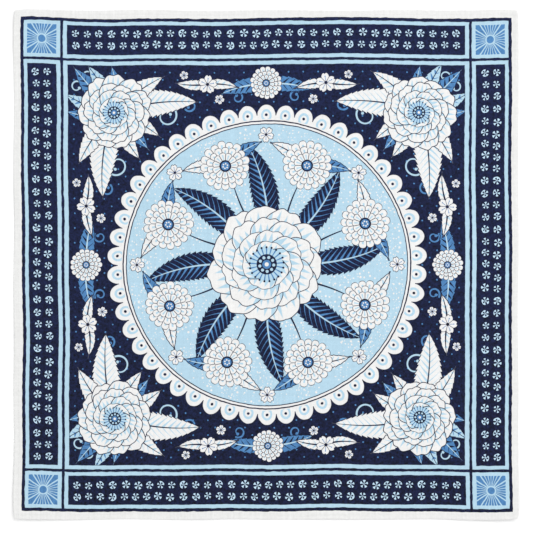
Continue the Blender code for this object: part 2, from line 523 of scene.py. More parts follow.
def stitch_rings(start, end):
    """Rings of all threads along one side of the hem. Height of a ring's middle over the cloth is
    radius x (1.3 sin(pi t) - 1) at share t of the stitch, and it thins to THREAD_ENDS at its ends."""
    span = end - start
    length = np.hypot(*span)
    heading = span / length
    aside = np.array((-heading[1], heading[0]))
    count = round(length / STITCH_PITCH)
    t = np.linspace(0.0, 1.0, STITCH_STEPS + 1)
    first = (np.arange(count) + rng.uniform(0.04, 0.10, count)) * (length / count)
    drift = rng.normal(0.0, STITCH_DRIFT, count)
    along = first[:, None] + STITCH_LENGTH * t
    x, y = (start[i] + heading[i] * along + aside[i] * drift[:, None] for i in (0, 1))
    laid = np.stack(laid_outline(x, y), -1) - outline_middle
    height = sheet_heights(x, y)[1] + THREAD_RADIUS * (1.3 * np.sin(np.pi * t) - 1.0)
    middle = np.concatenate((laid, height[..., None]), -1)
    radius = THREAD_RADIUS * (THREAD_ENDS + (1.0 - THREAD_ENDS) * np.sin(np.pi * t))
    angle = 2.0 * np.pi * np.arange(STITCH_SIDES) / STITCH_SIDES
    round_it = np.stack((aside[0] * np.cos(angle), aside[1] * np.cos(angle), np.sin(angle)), -1)
    return middle[:, :, None] + radius[:, None, None] * round_it


def stitch_quads(count):
    """Sides of each thread, ring to ring, and two quads that close each of its ends."""
    shape = (count, STITCH_STEPS + 1, STITCH_SIDES)
    index = np.arange(math.prod(shape)).reshape(shape)
    beside = np.roll(index, -1, 2)
    sides = np.stack((index[:, :-1], beside[:, :-1], beside[:, 1:], index[:, 1:]), -1).reshape(-1, 4)
    first, last = index[:, 0], index[:, -1]
    ends = (first[:, (3, 2, 1, 0)], first[:, (5, 4, 3, 0)], last[:, (0, 1, 2, 3)], last[:, (0, 3, 4, 5)])
    return np.concatenate((sides, *ends))


print("faces of one stitch:", len(stitch_quads(1)))

# %% [markdown]
# ## Four seams
#
# The seams start and end a little short of the edge, where a sewing machine would turn back. They are
# joined into one mesh, because hundreds of single objects would be slow and hard to keep together.

# %% Stitches round the hem
SEAM_STOPS = 0.0016

line_x, line_y = 0.5 * WIDTH - STITCH_LINE, 0.5 * LENGTH - STITCH_LINE
end_x, end_y = 0.5 * WIDTH - SEAM_STOPS, 0.5 * LENGTH - SEAM_STOPS
seams = np.array((
    ((-end_x, -line_y), (end_x, -line_y)),
    ((line_x, -end_y), (line_x, end_y)),
    ((end_x, line_y), (-end_x, line_y)),
    ((-line_x, end_y), (-line_x, -end_y)),
))
threads = np.concatenate([stitch_rings(start, end) for start, end in seams])
stitch_faces = stitch_quads(len(threads))
stitch_mesh = mesh_from_quads("hem_stitches", threads.reshape(-1, 3), stitch_faces)
stitches = bpy.data.objects.new("hem_stitches", stitch_mesh)
scene.collection.objects.link(stitches)
print("stitches:", len(threads), "with", 2 * len(stitch_faces), "triangles")

# %% [markdown]
# ## Where the motifs of the panel lie
#
# The panel holds a medallion: a round pale field with a large blossom in its middle, a wreath of
# leaves and smaller blossoms around that, a scalloped ring, and a spray in each corner.
#
# A shader can draw one leaf or blossom well, but it can't look through a hundred of them at each
# point. So each face of the mesh is told which motif it lies in. For every corner of the face an
# attribute holds the place inside that motif, in millimetres: along and across a leaf's curved spine,
# or right and up from the middle of a blossom or a curl. Its third number is the motif's size, and its
# kind in thousands. The shader then draws one leaf, and it appears wherever a motif was laid.

# %% Tables of the motifs, in millimetres and degrees
Motif = namedtuple("Motif", "x y turn size bend kind")
Wreath = namedtuple("Wreath", "copies radius angle turn size bend kind")
Spray = namedtuple("Spray", "x y turn size bend kind")

NAVY_LEAF, MIDDLE_LEAF, LIGHT_LEAF, WHITE_LEAF = 1, 2, 3, 4
BLOSSOM = 0
STEM = 0
LIGHT_CURL, MIDDLE_CURL = 1, 2

LOW_LEAVES = (
    Wreath(8, 40, 0.0, -4, 88, 30, NAVY_LEAF),
    Spray(160, 161, 45, 60, 4, MIDDLE_LEAF),
    Spray(160, 161, 103, 48, -30, MIDDLE_LEAF),
    Spray(160, 161, 163, 88, 22, WHITE_LEAF),
    Spray(160, 161, 225, 53, 6, MIDDLE_LEAF),
    Spray(0, 190, 4, 47, -24, MIDDLE_LEAF),
)
HIGH_LEAVES = (
    Wreath(8, 112, 22.5, 62, 44, 26, WHITE_LEAF),
    Wreath(8, 112, 22.5, -62, 44, -26, MIDDLE_LEAF),
    Spray(160, 161, 74, 54, -18, LIGHT_LEAF),
    Spray(160, 161, 134, 62, 20, WHITE_LEAF),
    Spray(160, 161, 204, 54, 16, WHITE_LEAF),
    Spray(62, 190, 178, 31, 22, WHITE_LEAF),
    Spray(62, 190, -14, 32, 22, WHITE_LEAF),
)
BLOSSOMS = (
    Wreath(1, 0, 0.0, 12, 62, 0, BLOSSOM),
    Wreath(8, 112, 22.5, 0, 26, 0, BLOSSOM),
    Wreath(8, 136.5, 0.0, 0, 8.5, 0, BLOSSOM),
    Spray(160.5, 160.5, 45, 40, 0, BLOSSOM),
    Spray(0, 190, 90, 17, 0, BLOSSOM),
    Spray(62, 190, 60, 10.5, 0, BLOSSOM),
    Spray(49, 174, 10, 5.5, 0, BLOSSOM),
    Spray(86, 199.5, 40, 5.0, 0, BLOSSOM),
)
CURLS = (
    Spray(105, 156, 150, 11, 1, LIGHT_CURL),
    Spray(80, 168, -40, 6.5, -1, MIDDLE_CURL),
    Spray(30, 176, 60, 6.5, 1, MIDDLE_CURL),
    Spray(187, 199, -120, 7.5, 1, LIGHT_CURL),
)
STEMS = (
    Wreath(8, 50, 22.5, 8, 46, -16, STEM),
)
print("rows of motifs:", len(LOW_LEAVES + HIGH_LEAVES + BLOSSOMS + CURLS + STEMS))

# %% [markdown]
# ## Copies of each row
#
# A wreath's row is turned round the middle of the cloth in equal steps. A spray's row is given for the
# upper right corner and mirrored over both axes and the diagonal. An Array modifier could repeat a
# mesh like this, but a motif is only a place for the print, so its copies are worked out as a list.
#
# Each copy is then moved, turned and sized a little at random, as a hand would. Sizes keep to whole
# steps, because the shader draws its own random numbers from them.

# %% Copies of one row


def wreath_copies(row):
    """Copies of one row, turned round the middle in equal steps."""
    copies = []
    for step in range(row.copies):
        angle = row.angle + 360.0 * step / row.copies
        x, y = row.radius * math.cos(math.radians(angle)), row.radius * math.sin(math.radians(angle))
        copies.append(Motif(x, y, angle + row.turn, row.size, row.bend, row.kind))
    return copies


def spray_copies(row):
    """Copies of one row, mirrored over both axes and, where it isn't its own mirror, the diagonal."""
    ways = [(row.x, row.y, row.turn, row.bend)]
    if abs(row.y - row.x) >= 2.0 or abs((90.0 - 2.0 * row.turn) % 360.0) >= 1.0:
        ways.append((row.y, row.x, 90.0 - row.turn, -row.bend))
    copies = []
    for x, y, turn, bend in ways:
        for side_x, side_y in ((1, 1), (-1, 1), (-1, -1), (1, -1)):
            mirrored = side_y * (turn if side_x > 0 else 180.0 - turn)
            bent = bend * side_x * side_y
            copies.append(Motif(side_x * x, side_y * y, mirrored, row.size, bent, row.kind))
    return copies


wreath_row, spray_row = LOW_LEAVES[:2]
print("copies of one row:", len(wreath_copies(wreath_row)), "or", len(spray_copies(spray_row)))

# %% Layers of motifs, each moved a little as by a hand
SIZE_STEP = 0.25
PLACE_JITTER = 0.4
TURN_JITTER = 2.0
SIZE_JITTER = 0.025


def laid_out(rows):
    """All copies of all rows, without those that fall on another, each one moved a little at random."""
    motifs = []
    for row in rows:
        motifs += wreath_copies(row) if isinstance(row, Wreath) else spray_copies(row)
    kept = []
    for m in motifs:
        if all(math.hypot(m.x - k.x, m.y - k.y) > 1.0 or abs(m.turn - k.turn) % 360.0 > 1.0 for k in kept):
            kept.append(m)
    return [m._replace(
        x=m.x + rng.normal(0.0, PLACE_JITTER), y=m.y + rng.normal(0.0, PLACE_JITTER),
        turn=m.turn + rng.normal(0.0, TURN_JITTER),
        size=SIZE_STEP * round(m.size * rng.uniform(1.0 - SIZE_JITTER, 1.0 + SIZE_JITTER) / SIZE_STEP),
    ) for m in kept]


# The order of these lines sets which random numbers each layer gets
low_leaves, high_leaves = laid_out(LOW_LEAVES), laid_out(HIGH_LEAVES)
blossoms = laid_out(BLOSSOMS)
stems, curls = laid_out(STEMS), laid_out(CURLS)
print("motifs:", len(low_leaves + high_leaves), "leaves,", len(blossoms), "blossoms,", len(curls), "curls")

# %% [markdown]
# ## The place inside a motif
#
# A drawn leaf bends. On the real cloth that is just a curved stroke, and here its spine is an arc. The
# place of each point is measured along and across that arc, so the shader can draw a straight leaf and
# it comes out bent. A blossom and a curl are round, so theirs is measured straight from the middle.

# %% The place inside a motif


def turned(m, x, y):
    """Right and up from the motif's own place, after turning it level."""
    cos, sin = math.cos(math.radians(m.turn)), math.sin(math.radians(m.turn))
    return (x - m.x) * cos + (y - m.y) * sin, (y - m.y) * cos - (x - m.x) * sin


def curl_frame(m, x, y):
    """A curl's place is measured straight from its middle, and mirrored where it winds clockwise."""
    ahead, left = turned(m, x, y)
    return ahead, left * m.bend


def arc_frame(m, x, y):
    """A leaf's spine is an arc that starts at its place and bends evenly by its angle. Along is radius
    times the angle round the arc's centre, and across is the distance from the arc."""
    side = math.copysign(1.0, m.bend)
    radius = m.size / math.radians(abs(m.bend))
    ahead, left = turned(m, x, y)
    left = left * side
    along = radius * np.arctan2(ahead, radius - left)
    return along, side * (radius - np.hypot(ahead, left - radius))


bent_leaf = Motif(0.0, 0.0, 0.0, 60.0, 30.0, NAVY_LEAF)
print("60 mm straight ahead is, along and across the spine:", np.round(arc_frame(bent_leaf, 60.0, 0.0), 1))

# %% [markdown]
# ## Laying the motifs on the mesh
#
# Each face takes the motif that it lies deepest in. Where two overlap, one has to give way, so low and
# high leaves are two layers with an attribute each. Pieces of mesh laid over the cloth would overlap
# freely, but print has no thickness, and they would show as steps from the side.

# %% Reach of each kind of motif
CELL_MARGIN = 3.5
END_MARGIN = 3.0
ROUND_SPARE = 1.12
LEAF_HALF_SHARE = 0.2
STEM_HALF = 1.5


def round_reach(m, right, up):
    """A disc a little larger than the motif, and a margin of about one cell."""
    return np.hypot(right, up) / (ROUND_SPARE * m.size + CELL_MARGIN)


def along_the_spine(m, along, share_across):
    """share_across between the spine's two ends, and out of reach past them."""
    along_share = abs(along - 0.5 * m.size) / (0.5 * m.size + END_MARGIN)
    return np.where(along_share < 1.0, share_across, np.inf)


def leaf_reach(m, along, across):
    """A box around the spine, wide enough for the leaf's teeth."""
    return along_the_spine(m, along, abs(across) / (LEAF_HALF_SHARE * m.size + CELL_MARGIN))


def stem_reach(m, along, across):
    """A narrow strip around the spine."""
    return along_the_spine(m, along, abs(across) / (STEM_HALF + CELL_MARGIN))


print("margins around a motif, in mm:", CELL_MARGIN, "to the side and", END_MARGIN, "past its ends")

# %% Attributes of the panel's layers
PANEL_REACH = 213.0


def lay(motifs, frame_of, reach_of):
    """Attribute values for one layer. A face whose middle is within a motif's reach takes its frame, and
    one within reach of several takes the one that it lies deepest in."""
    values = np.zeros((len(quads), 4, 3))
    depth = np.full(len(quads), np.inf)
    for m in motifs:
        nearness = reach_of(m, *frame_of(m, middle_x, middle_y))
        near = (nearness < 1.0) & (nearness < depth) & in_panel
        depth[near] = nearness[near]
        along, across = frame_of(m, corner_x[near], corner_y[near])
        values[near] = np.stack((along, across, np.full_like(along, m.size + 1000.0 * m.kind)), -1)
    return values


corner_x = (printed_place[..., 0] - 0.5) * 1000.0 * WIDTH
corner_y = (printed_place[..., 1] - 0.5) * 1000.0 * LENGTH
middle_x, middle_y = corner_x.mean(1), corner_y.mean(1)
in_panel = np.maximum(abs(middle_x), abs(middle_y)) < PANEL_REACH

blossom_values = lay(blossoms, turned, round_reach)
for name, values in (
    ("stem_place", lay(stems, arc_frame, stem_reach)),
    ("curl_place", lay(curls, curl_frame, round_reach)),
    ("low_leaf_place", lay(low_leaves, arc_frame, leaf_reach)),
    ("high_leaf_place", lay(high_leaves, arc_frame, leaf_reach)),
    ("blossom_place", blossom_values),
):
    layer = cloth_mesh.attributes.new(name, "FLOAT_VECTOR", "CORNER")
    layer.data.foreach_set("vector", values.astype(np.float32).ravel())
    print(name, "is set on", int((values[:, 0, 2] > 0).sum()), "faces")

# %% [markdown]
# ## Writing shader sums as arithmetic
#
# A print worked out by formula needs hundreds of Math nodes. They can be placed by hand, one at a
# time, but then the formula can't be read. Here a small class stands for a number that varies over
# the cloth, and +, -, * and the like each add one node. A formula in a node group then looks like
# the same formula in numpy.

# %% A number that varies over the cloth, and its arithmetic


class Field:
    """A number that varies over the surface: one output of a node. Arithmetic on it adds Math nodes."""

    def __init__(self, socket):
        self.socket = socket

    def __add__(self, other):
        return compute("ADD", self, other)

    def __radd__(self, other):
        return compute("ADD", other, self)

    def __sub__(self, other):
        return compute("SUBTRACT", self, other)

    def __rsub__(self, other):
        return compute("SUBTRACT", other, self)

    def __mul__(self, other):
        return compute("MULTIPLY", self, other)

    def __rmul__(self, other):
        return compute("MULTIPLY", other, self)

    def __truediv__(self, other):
        return compute("DIVIDE", self, other)

    def __rtruediv__(self, other):
        return compute("DIVIDE", other, self)

    def __pow__(self, other):
        return compute("POWER", self, other)

    def __abs__(self):
        return compute("ABSOLUTE", self)

    def __neg__(self):
        return compute("MULTIPLY", self, -1.0)


# %% Feeding a socket, and one Math node


def wire(tree, term, socket):
    """Feed a socket from a Field, from another socket, or with a plain number."""
    if isinstance(term, Field):
        term = term.socket
    if isinstance(term, bpy.types.NodeSocket):
        tree.links.new(term, socket)
    else:
        socket.default_value = term


def tree_of(*terms):
    """The node tree that the first Field among these terms lives in."""
    return next(t.socket.id_data for t in terms if isinstance(t, Field))


def compute(operation, *terms, clamp=False):
    """One Math node."""
    tree = tree_of(*terms)
    node = tree.nodes.new("ShaderNodeMath")
    node.operation = operation
    node.use_clamp = clamp
    for term, socket in zip(terms, node.inputs):
        wire(tree, term, socket)
    return Field(node.outputs[0])


# %% [markdown]
# ## Distances and angles
#
# All marks of the print are told by distances: to a line, to the middle of a dot, to a spoke. These
# few helpers give them by name, so that a formula further on says what is measured and not which node
# is used. A place is a vector and an ink is a colour, and both are also taken apart here.

# %% Helpers for vectors and colours


def vector(x, y, z=0.0):
    """A vector from three numbers."""
    tree = tree_of(x, y, z)
    node = tree.nodes.new("ShaderNodeCombineXYZ")
    for term, socket in zip((x, y, z), node.inputs):
        wire(tree, term, socket)
    return Field(node.outputs[0])


def parts_of(place):
    """The three numbers of a vector."""
    tree = tree_of(place)
    node = tree.nodes.new("ShaderNodeSeparateXYZ")
    wire(tree, place, node.inputs[0])
    return tuple(Field(socket) for socket in node.outputs)


def channels_of(colour):
    """The red, green and blue of a colour."""
    tree = tree_of(colour)
    node = tree.nodes.new("ShaderNodeSeparateColor")
    wire(tree, colour, node.inputs[0])
    return tuple(Field(socket) for socket in node.outputs)


def grey(value):
    """A colour whose three channels are the same number."""
    tree = tree_of(value)
    node = tree.nodes.new("ShaderNodeCombineColor")
    for socket in node.inputs:
        wire(tree, value, socket)
    return Field(node.outputs[0])


# %% Helpers for distances and angles


def least(a, b):
    """The smaller of two: where they are distances from two shapes, the distance from the nearer one."""
    return compute("MINIMUM", a, b)


def most(a, b):
    """The larger of two: where they are distances, inside only where both shapes are."""
    return compute("MAXIMUM", a, b)


def length_of(x, y):
    """Length of the arrow x, y."""
    arrow = vector(x, y)
    tree = tree_of(arrow)
    node = tree.nodes.new("ShaderNodeVectorMath")
    node.operation = "LENGTH"
    wire(tree, arrow, node.inputs[0])
    return Field(node.outputs["Value"])


def fold_angle(x, y):
    """Angle of the arrow x, y from the x axis, in radians from -pi to pi."""
    return compute("ARCTAN2", y, x)


def nearest_whole(value):
    """The nearest whole number."""
    return compute("ROUND", value)


def between_spokes(angle, radius, count):
    """Distance round the circle from the middle of one of count equal sectors: 0 in its middle."""
    sector = 2.0 * math.pi / count
    return (compute("FRACT", angle * (1.0 / sector)) - 0.5) * radius * sector


def choose(flag, when_set, when_clear):
    """when_set where flag is 1, when_clear where it is 0."""
    return flag * (when_set - when_clear) + when_clear


# %% [markdown]
# ## Edges, dice and paint
#
# An edge of print isn't a hard step: ink spreads a little between the threads. So each mark fades
# over a third of a millimetre, which also keeps it from flickering when it is seen from afar. What
# differs by hand from mark to mark comes from noise nodes, and a Mix node lays the ink.

# %% Helpers for edges, random numbers and colours


def below(value, limit=0.0, soft=0.3):
    """1 where value is under limit, 0 where it is over, with an edge soft millimetres wide."""
    return compute("MULTIPLY_ADD", value, -1.0 / soft, 0.5 + limit / soft, clamp=True)


def dice(x, y, z=0.0):
    """Three random numbers from 0 to 1 that depend on x, y and z alone."""
    place = vector(x, y, z)
    tree = tree_of(place)
    node = tree.nodes.new("ShaderNodeTexWhiteNoise")
    node.noise_dimensions = "3D"
    wire(tree, place, node.inputs["Vector"])
    return channels_of(Field(node.outputs["Color"]))


def soft_noise(x, y, size_x, size_y, detail=0.0, rough=0.5, seed=0.0):
    """Three smooth random numbers around 0, about -0.5 to 0.5, in blobs of size_x by size_y. Each step
    of detail adds blobs of half the size, rough times as strong."""
    place = vector(x * (1.0 / size_x), y * (1.0 / size_y), seed)
    tree = tree_of(place)
    node = tree.nodes.new("ShaderNodeTexNoise")
    node.noise_dimensions = "3D"
    node.inputs["Scale"].default_value = 1.0
    node.inputs["Detail"].default_value = detail
    node.inputs["Roughness"].default_value = rough
    wire(tree, place, node.inputs["Vector"])
    return tuple(channel - 0.5 for channel in channels_of(Field(node.outputs["Color"])))


def paint(base, colour, mask, blend="MIX"):
    """Lay a colour over a base where mask is 1: one Mix node."""
    tree = tree_of(mask, base)
    node = tree.nodes.new("ShaderNodeMix")
    node.data_type = "RGBA"
    node.blend_type = blend
    node.clamp_factor = True
    wire(tree, mask, node.inputs["Factor"])
    for term, name in ((base, "A"), (colour, "B")):
        wire(tree, term, next(s for s in node.inputs if s.name == name and s.type == "RGBA"))
    return Field(next(s for s in node.outputs if s.type == "RGBA"))


# %% [markdown]
# ## Node groups
#
# An effect that more than one material uses is a node group: built once, with named inputs and
# outputs, and placed wherever it is needed. Copied nodes would look the same, but each change would
# have to be made in every copy. The nodes of a tree are also set out in columns, so that the tree can
# be read in the shader editor.

# %% Groups with named inputs and outputs
COLUMN_WIDTH, ROW_HEIGHT = 180, 160


def start_group(name, inputs, outputs):
    """A new shader node group. Gives its inputs as Fields and a function that feeds its outputs."""
    tree = bpy.data.node_groups.new(name, "ShaderNodeTree")
    for direction, sockets in (("INPUT", inputs), ("OUTPUT", outputs)):
        for socket_name, kind in sockets.items():
            tree.interface.new_socket(socket_name, in_out=direction, socket_type="NodeSocket" + kind)
    entry = tree.nodes.new("NodeGroupInput")
    leave = tree.nodes.new("NodeGroupOutput")
    fields = {socket_name: Field(entry.outputs[socket_name]) for socket_name in inputs}

    def finish_group(**results):
        for socket_name, term in results.items():
            wire(tree, term, leave.inputs[socket_name])
        arrange(tree)
        print("group", name, "has", len(tree.nodes), "nodes")
        return tree

    return fields, finish_group


def use_group(tree, group, **terms):
    """Place a group in a tree, feed its inputs, and give its outputs as Fields."""
    node = tree.nodes.new("ShaderNodeGroup")
    node.node_tree = group
    node.label = group.name
    for socket_name, term in terms.items():
        wire(tree, term, node.inputs[socket_name])
    return {socket.name: Field(socket) for socket in node.outputs}


def arrange(tree):
    """Put each node one column to the right of the nodes that feed it, so that the tree can be read."""
    column = {}
    for node in tree.nodes:
        feeding = [link.from_node for socket in node.inputs for link in socket.links]
        column[node.name] = 1 + max((column.get(n.name, 0) for n in feeding), default=0)
    filled = {}
    for node in tree.nodes:
        c = column[node.name]
        node.location = (COLUMN_WIDTH * c, -ROW_HEIGHT * filled.get(c, 0))
        filled[c] = filled.get(c, 0) + 1


# %% [markdown]
# ## The inks
#
# The cloth is printed with three blues, and the light one comes out paler in the border's rosettes.
# They are given as the eye sees them on a screen, and are made linear for the shader. The bare margin
# is a touch greyer than the bare cloth in the panel. A picture could hold all colours at once, but
# numbers can be changed one by one.

# %% Colours of the cloth and the inks


def ink(red, green, blue):
    """A screen colour from 0 to 255 as a linear colour: ((c / 255 + 0.055) / 1.055) to the power 2.4."""
    return (*(((c / 255 + 0.055) / 1.055) ** 2.4 for c in (red, green, blue)), 1.0)


WHITE = ink(223.6, 223.4, 222.6)
MARGIN = ink(220.4, 220.5, 219.5)
PALE = ink(187, 215, 233)
LIGHT = ink(171, 201.5, 218.5)
MIDDLE = ink(75, 123.5, 173)
NAVY = ink(17, 25, 56)
print("navy and bare cloth as linear colours:", np.round(NAVY[:3], 3), np.round(WHITE[:3], 3))

# %% [markdown]
# ## The hand-drawn line
#
# The border was drawn by hand before it was printed, so each line of it trembles, and none keeps its
# thickness. A noise with blobs of a few millimetres pushes about the places where the print is read.
# Its third number gives the change of thickness.

# %% Group: places pushed about as by a hand
TREMBLE_SIZE, TREMBLE_PUSH = 7.0, 1.05


def hand_drawn_group():
    """Place + trembling noise, in millimetres, and a thickness change around 0."""
    given, finish_group = start_group(
        "hand drawn places", {"Place": "Vector"}, {"Place": "Vector", "Weight": "Float"})
    x, y, _ = parts_of(given["Place"])
    push_x, push_y, weight = soft_noise(x, y, TREMBLE_SIZE, TREMBLE_SIZE, detail=1.0, seed=8.1)
    moved = vector(x + push_x * TREMBLE_PUSH, y + push_y * TREMBLE_PUSH)
    return finish_group(Place=moved, Weight=weight)


hand_drawn = hand_drawn_group()

# %% [markdown]
# ## Rosettes of the border bands
#
# Each navy band holds two rows of small pale rosettes. Each rosette is a disc cut into five petals by
# spokes that widen outward from a small hub, and one petal points away from the other row. Here and
# there a spoke stops short of the rim. The petals are of uneven width, and each rosette is a little
# turned and off its place, as small things drawn by hand are. Ten of them were drawn, and they repeat
# along the row. So one formula draws them all, and random numbers that depend on the place among the
# ten vary it.

# %% Group: one rosette around the middle of its cell
PETALS = 5
PETAL_TILT = -0.09
RIM = 3.56
SHORT_SPOKE = 2.9
SHORT_SPOKES = 0.08
NICK_RADIUS = 0.55
NICKS = 0.45


def rosette_group():
    """Petals of a disc: inside its rim, and further from the nearest spoke than the spoke's half width.
    The hub and the stretch of rim past a short spoke are added to them, and some have a dark nick."""
    given, finish_group = start_group(
        "rosette", {"X": "Float", "Y": "Float", "Number": "Float"}, {"Mask": "Float"})
    push_x, push_y, size = dice(given["Number"], 1.0)
    turn, hub, nick = dice(given["Number"], 2.0)
    x = given["X"] + (push_x - 0.5) * 0.6
    y = given["Y"] + (push_y - 0.5) * 1.4
    radius = length_of(x, y)
    angle = fold_angle(-y, -x) + (turn - 0.5) * 0.3 + PETAL_TILT
    angle = angle + compute("SINE", angle + size * 6.0) * 0.06
    share = angle * (PETALS / (2.0 * math.pi)) + 0.5
    offset = abs(compute("FRACT", share) - 0.5)
    _, width_dice, petal_dice = dice(given["Number"] + compute("FLOOR", share) * 0.037, 3.0)
    spoke = (0.5 - offset) * radius * (2.0 * math.pi / PETALS)
    spoke_half = least(radius * 0.43, radius * 0.04 + 0.84) * (width_dice * 0.2 + 0.9)
    rim = RIM + size * 0.6 - offset * offset * 1.2 + (petal_dice - 0.5) * 0.3
    spoke_dice, _, _ = dice(given["Number"] + nearest_whole(share) * 0.041, 4.0)
    past_spoke = below(SHORT_SPOKE - radius) * compute("GREATER_THAN", spoke_dice, 1.0 - SHORT_SPOKES)
    drawn = most(below(spoke_half - spoke), most(below(radius - hub * 0.4, 0.3), past_spoke))
    petal = drawn * below(radius - rim)
    nick_x = x - (turn - 0.5) * 4.0
    nick_y = y - (nick - 0.5) * 4.0
    nicked = below(length_of(nick_x, nick_y), NICK_RADIUS) * compute("GREATER_THAN", nick, 1.0 - NICKS)
    return finish_group(Mask=petal * (1.0 - nicked))


rosette = rosette_group()

# %% [markdown]
# ## Suns of the corner squares
#
# Where the bands meet, a mid-blue square holds a small sun: a disc in a pale ring, four solid rays
# on the diagonals between pale lines, and six thin rays towards each side. The square looks the same
# from all four sides, so its formula first folds the place into one eighth.

# %% Group: the sun of one corner square
RAY_PERIOD = math.radians(11.5)
SUN_DISC = 3.8
SUN_RING = 5.1
LINE_HALF = 0.62


def sun_group():
    """Mid blue where it is 1. Inside the disc, on the diagonal wedge, or on a thin ray past the ring."""
    given, finish_group = start_group("corner sun", {"X": "Float", "Y": "Float"}, {"Mask": "Float"})
    x, y = abs(given["X"]), abs(given["Y"])
    radius = length_of(x, y)
    high, low = most(x, y), least(x, y)
    diagonal = (high - low) * math.sqrt(0.5)
    line_middle = (radius - 5.46) * 0.193 + 0.74
    wedge = below(diagonal - line_middle, -LINE_HALF)
    past_line = below(line_middle - diagonal, -LINE_HALF)
    angle = fold_angle(high, low)
    ray = abs(compute("FRACT", angle * (1.0 / RAY_PERIOD)) - 0.48) * radius * RAY_PERIOD
    close = below(radius, 9.0, soft=4.0)
    thin = below(ray - radius * (0.36 - close * 0.09) * RAY_PERIOD)
    rays = most(wedge, thin * past_line)
    beyond = below(SUN_RING - radius)
    disc = below(radius, SUN_DISC)
    return finish_group(Mask=most(rays * beyond, disc))


corner_sun = sun_group()

# %% [markdown]
# ## The border
#
# From outside in: a white margin, a navy line, a pale blue strip, a navy band with its rosettes,
# another pale strip with a thin navy line in it, and then the panel. The thin lines run on to the
# outer one and box the corner squares. Each element is the distance to a straight edge or a box.
#
# The same band is on all four sides, turned by a quarter from side to side, and its outer row is the
# inner one turned half round. The gaps between rosettes are uneven and come back every ten. So each
# place is first turned to the top band and its inner row, and two sines of the rosette's number give
# how far it has slipped along the row.

# %% Places of the border, in millimetres, first to the side and then up
OUTER_LINE = (256.2, 257.4)
INNER_LINE = (214.6, 215.8)
BAND_MIDDLE = (235.5, 236.5)
BAND_HALF = (15.3, 15.45)
BAND_END = (209.1, 210.5)
PANEL = (208.3, 210.0)
ROW_MIDDLE = (236.2, 237.2)
ROW_GAP = (12.0, 12.05)
ROSETTE_PITCH = (12.51, 12.63)
LAST_ROSETTE = 16
REPEAT = 10
OUTER_LINE_HALF, INNER_LINE_HALF, PANEL_LINE_HALF = 1.7, 1.45, 0.35
print("each row has", 2 * LAST_ROSETTE + 1, "rosettes, one every", ROSETTE_PITCH[0], "mm")

# %% Group: the whole border


def border_group():
    """Colour of the border, and a mask that is 1 inside the panel."""
    given, finish_group = start_group(
        "border print", {"Place": "Vector", "Weight": "Float"}, {"Color": "Color", "Panel": "Float"})
    x, y, _ = parts_of(given["Place"])
    weight = given["Weight"]
    ax, ay = abs(x), abs(y)

    frame_edge = most(ax - OUTER_LINE[0], ay - OUTER_LINE[1])
    inside = below(frame_edge)
    outer = below(abs(frame_edge) - weight * 1.2, OUTER_LINE_HALF)
    thin = least(abs(ax - INNER_LINE[0]), abs(ay - INNER_LINE[1]))
    inner = below(thin + weight * 1.15, INNER_LINE_HALF) * inside
    colour = paint(paint(MARGIN, LIGHT, inside), NAVY, most(outer, inner))

    from_side_band = abs(ax - BAND_MIDDLE[0]) - BAND_HALF[0]
    from_top_band = abs(ay - BAND_MIDDLE[1]) - BAND_HALF[1]
    side_band = most(from_side_band, ay - BAND_END[1])
    top_band = most(from_top_band, ax - BAND_END[0])
    colour = paint(colour, NAVY, below(least(side_band, top_band)))

    on_side = compute("LESS_THAN", side_band, top_band)
    along = choose(on_side, -y, x) * compute("SIGN", choose(on_side, x, y))
    pitch = choose(on_side, ROSETTE_PITCH[1], ROSETTE_PITCH[0])
    from_middle = choose(on_side, ax - ROW_MIDDLE[0], ay - ROW_MIDDLE[1])
    turn = -compute("SIGN", from_middle)
    column = nearest_whole(along / pitch)
    phase = column * turn * (2.0 * math.pi / REPEAT)
    slip = compute("SINE", phase - 2.07) * 1.05 + compute("SINE", phase * 2.0 - 3.0) * 0.5 - 0.55
    dots = use_group(tree_of(x), rosette, **{
        "X": (along - column * pitch) * turn - slip,
        "Y": from_middle * turn + choose(on_side, 0.5 * ROW_GAP[0], 0.5 * ROW_GAP[1]),
        "Number": compute("FLOORED_MODULO", column * turn, float(REPEAT)),
    })
    in_band = below(least(side_band, top_band), -0.5) * below(abs(column), LAST_ROSETTE + 0.5, soft=0.01)
    colour = paint(colour, PALE, dots["Mask"] * in_band)

    square = most(from_side_band, from_top_band)
    sun = use_group(tree_of(x), corner_sun, X=ax - BAND_MIDDLE[0], Y=ay - BAND_MIDDLE[1])
    colour = paint(colour, MIDDLE, sun["Mask"] * below(square))

    panel_edge = most(ax - PANEL[0], ay - PANEL[1])
    colour = paint(colour, NAVY, below(abs(panel_edge), PANEL_LINE_HALF))
    return finish_group(Color=colour, Panel=below(panel_edge, -0.1))


border_print = border_group()

# %% [markdown]
# ## Ground of the panel
#
# Outside the medallion the panel is navy with a lattice of small mid-blue dots. The medallion is a
# pale disc with flecks of bare cloth in loose clusters. Around it runs a ring of white scallops with
# navy outlines, each with a pale tongue and a dot.

# %% Group: dotted navy ground, scalloped ring and flecked disc
DISC = 148.0
SCALLOP_MIDDLE = 157.0
SCALLOP_RADIUS = 9.9
SCALLOPS = 50
TONGUE_RADIUS, TONGUE_WHITE, TONGUE_DOT = 5.6, 3.4, 1.5
DOT_PITCH = 11.0
DOT_RADIUS = 0.85
FLECK_CLUSTER = 26.0


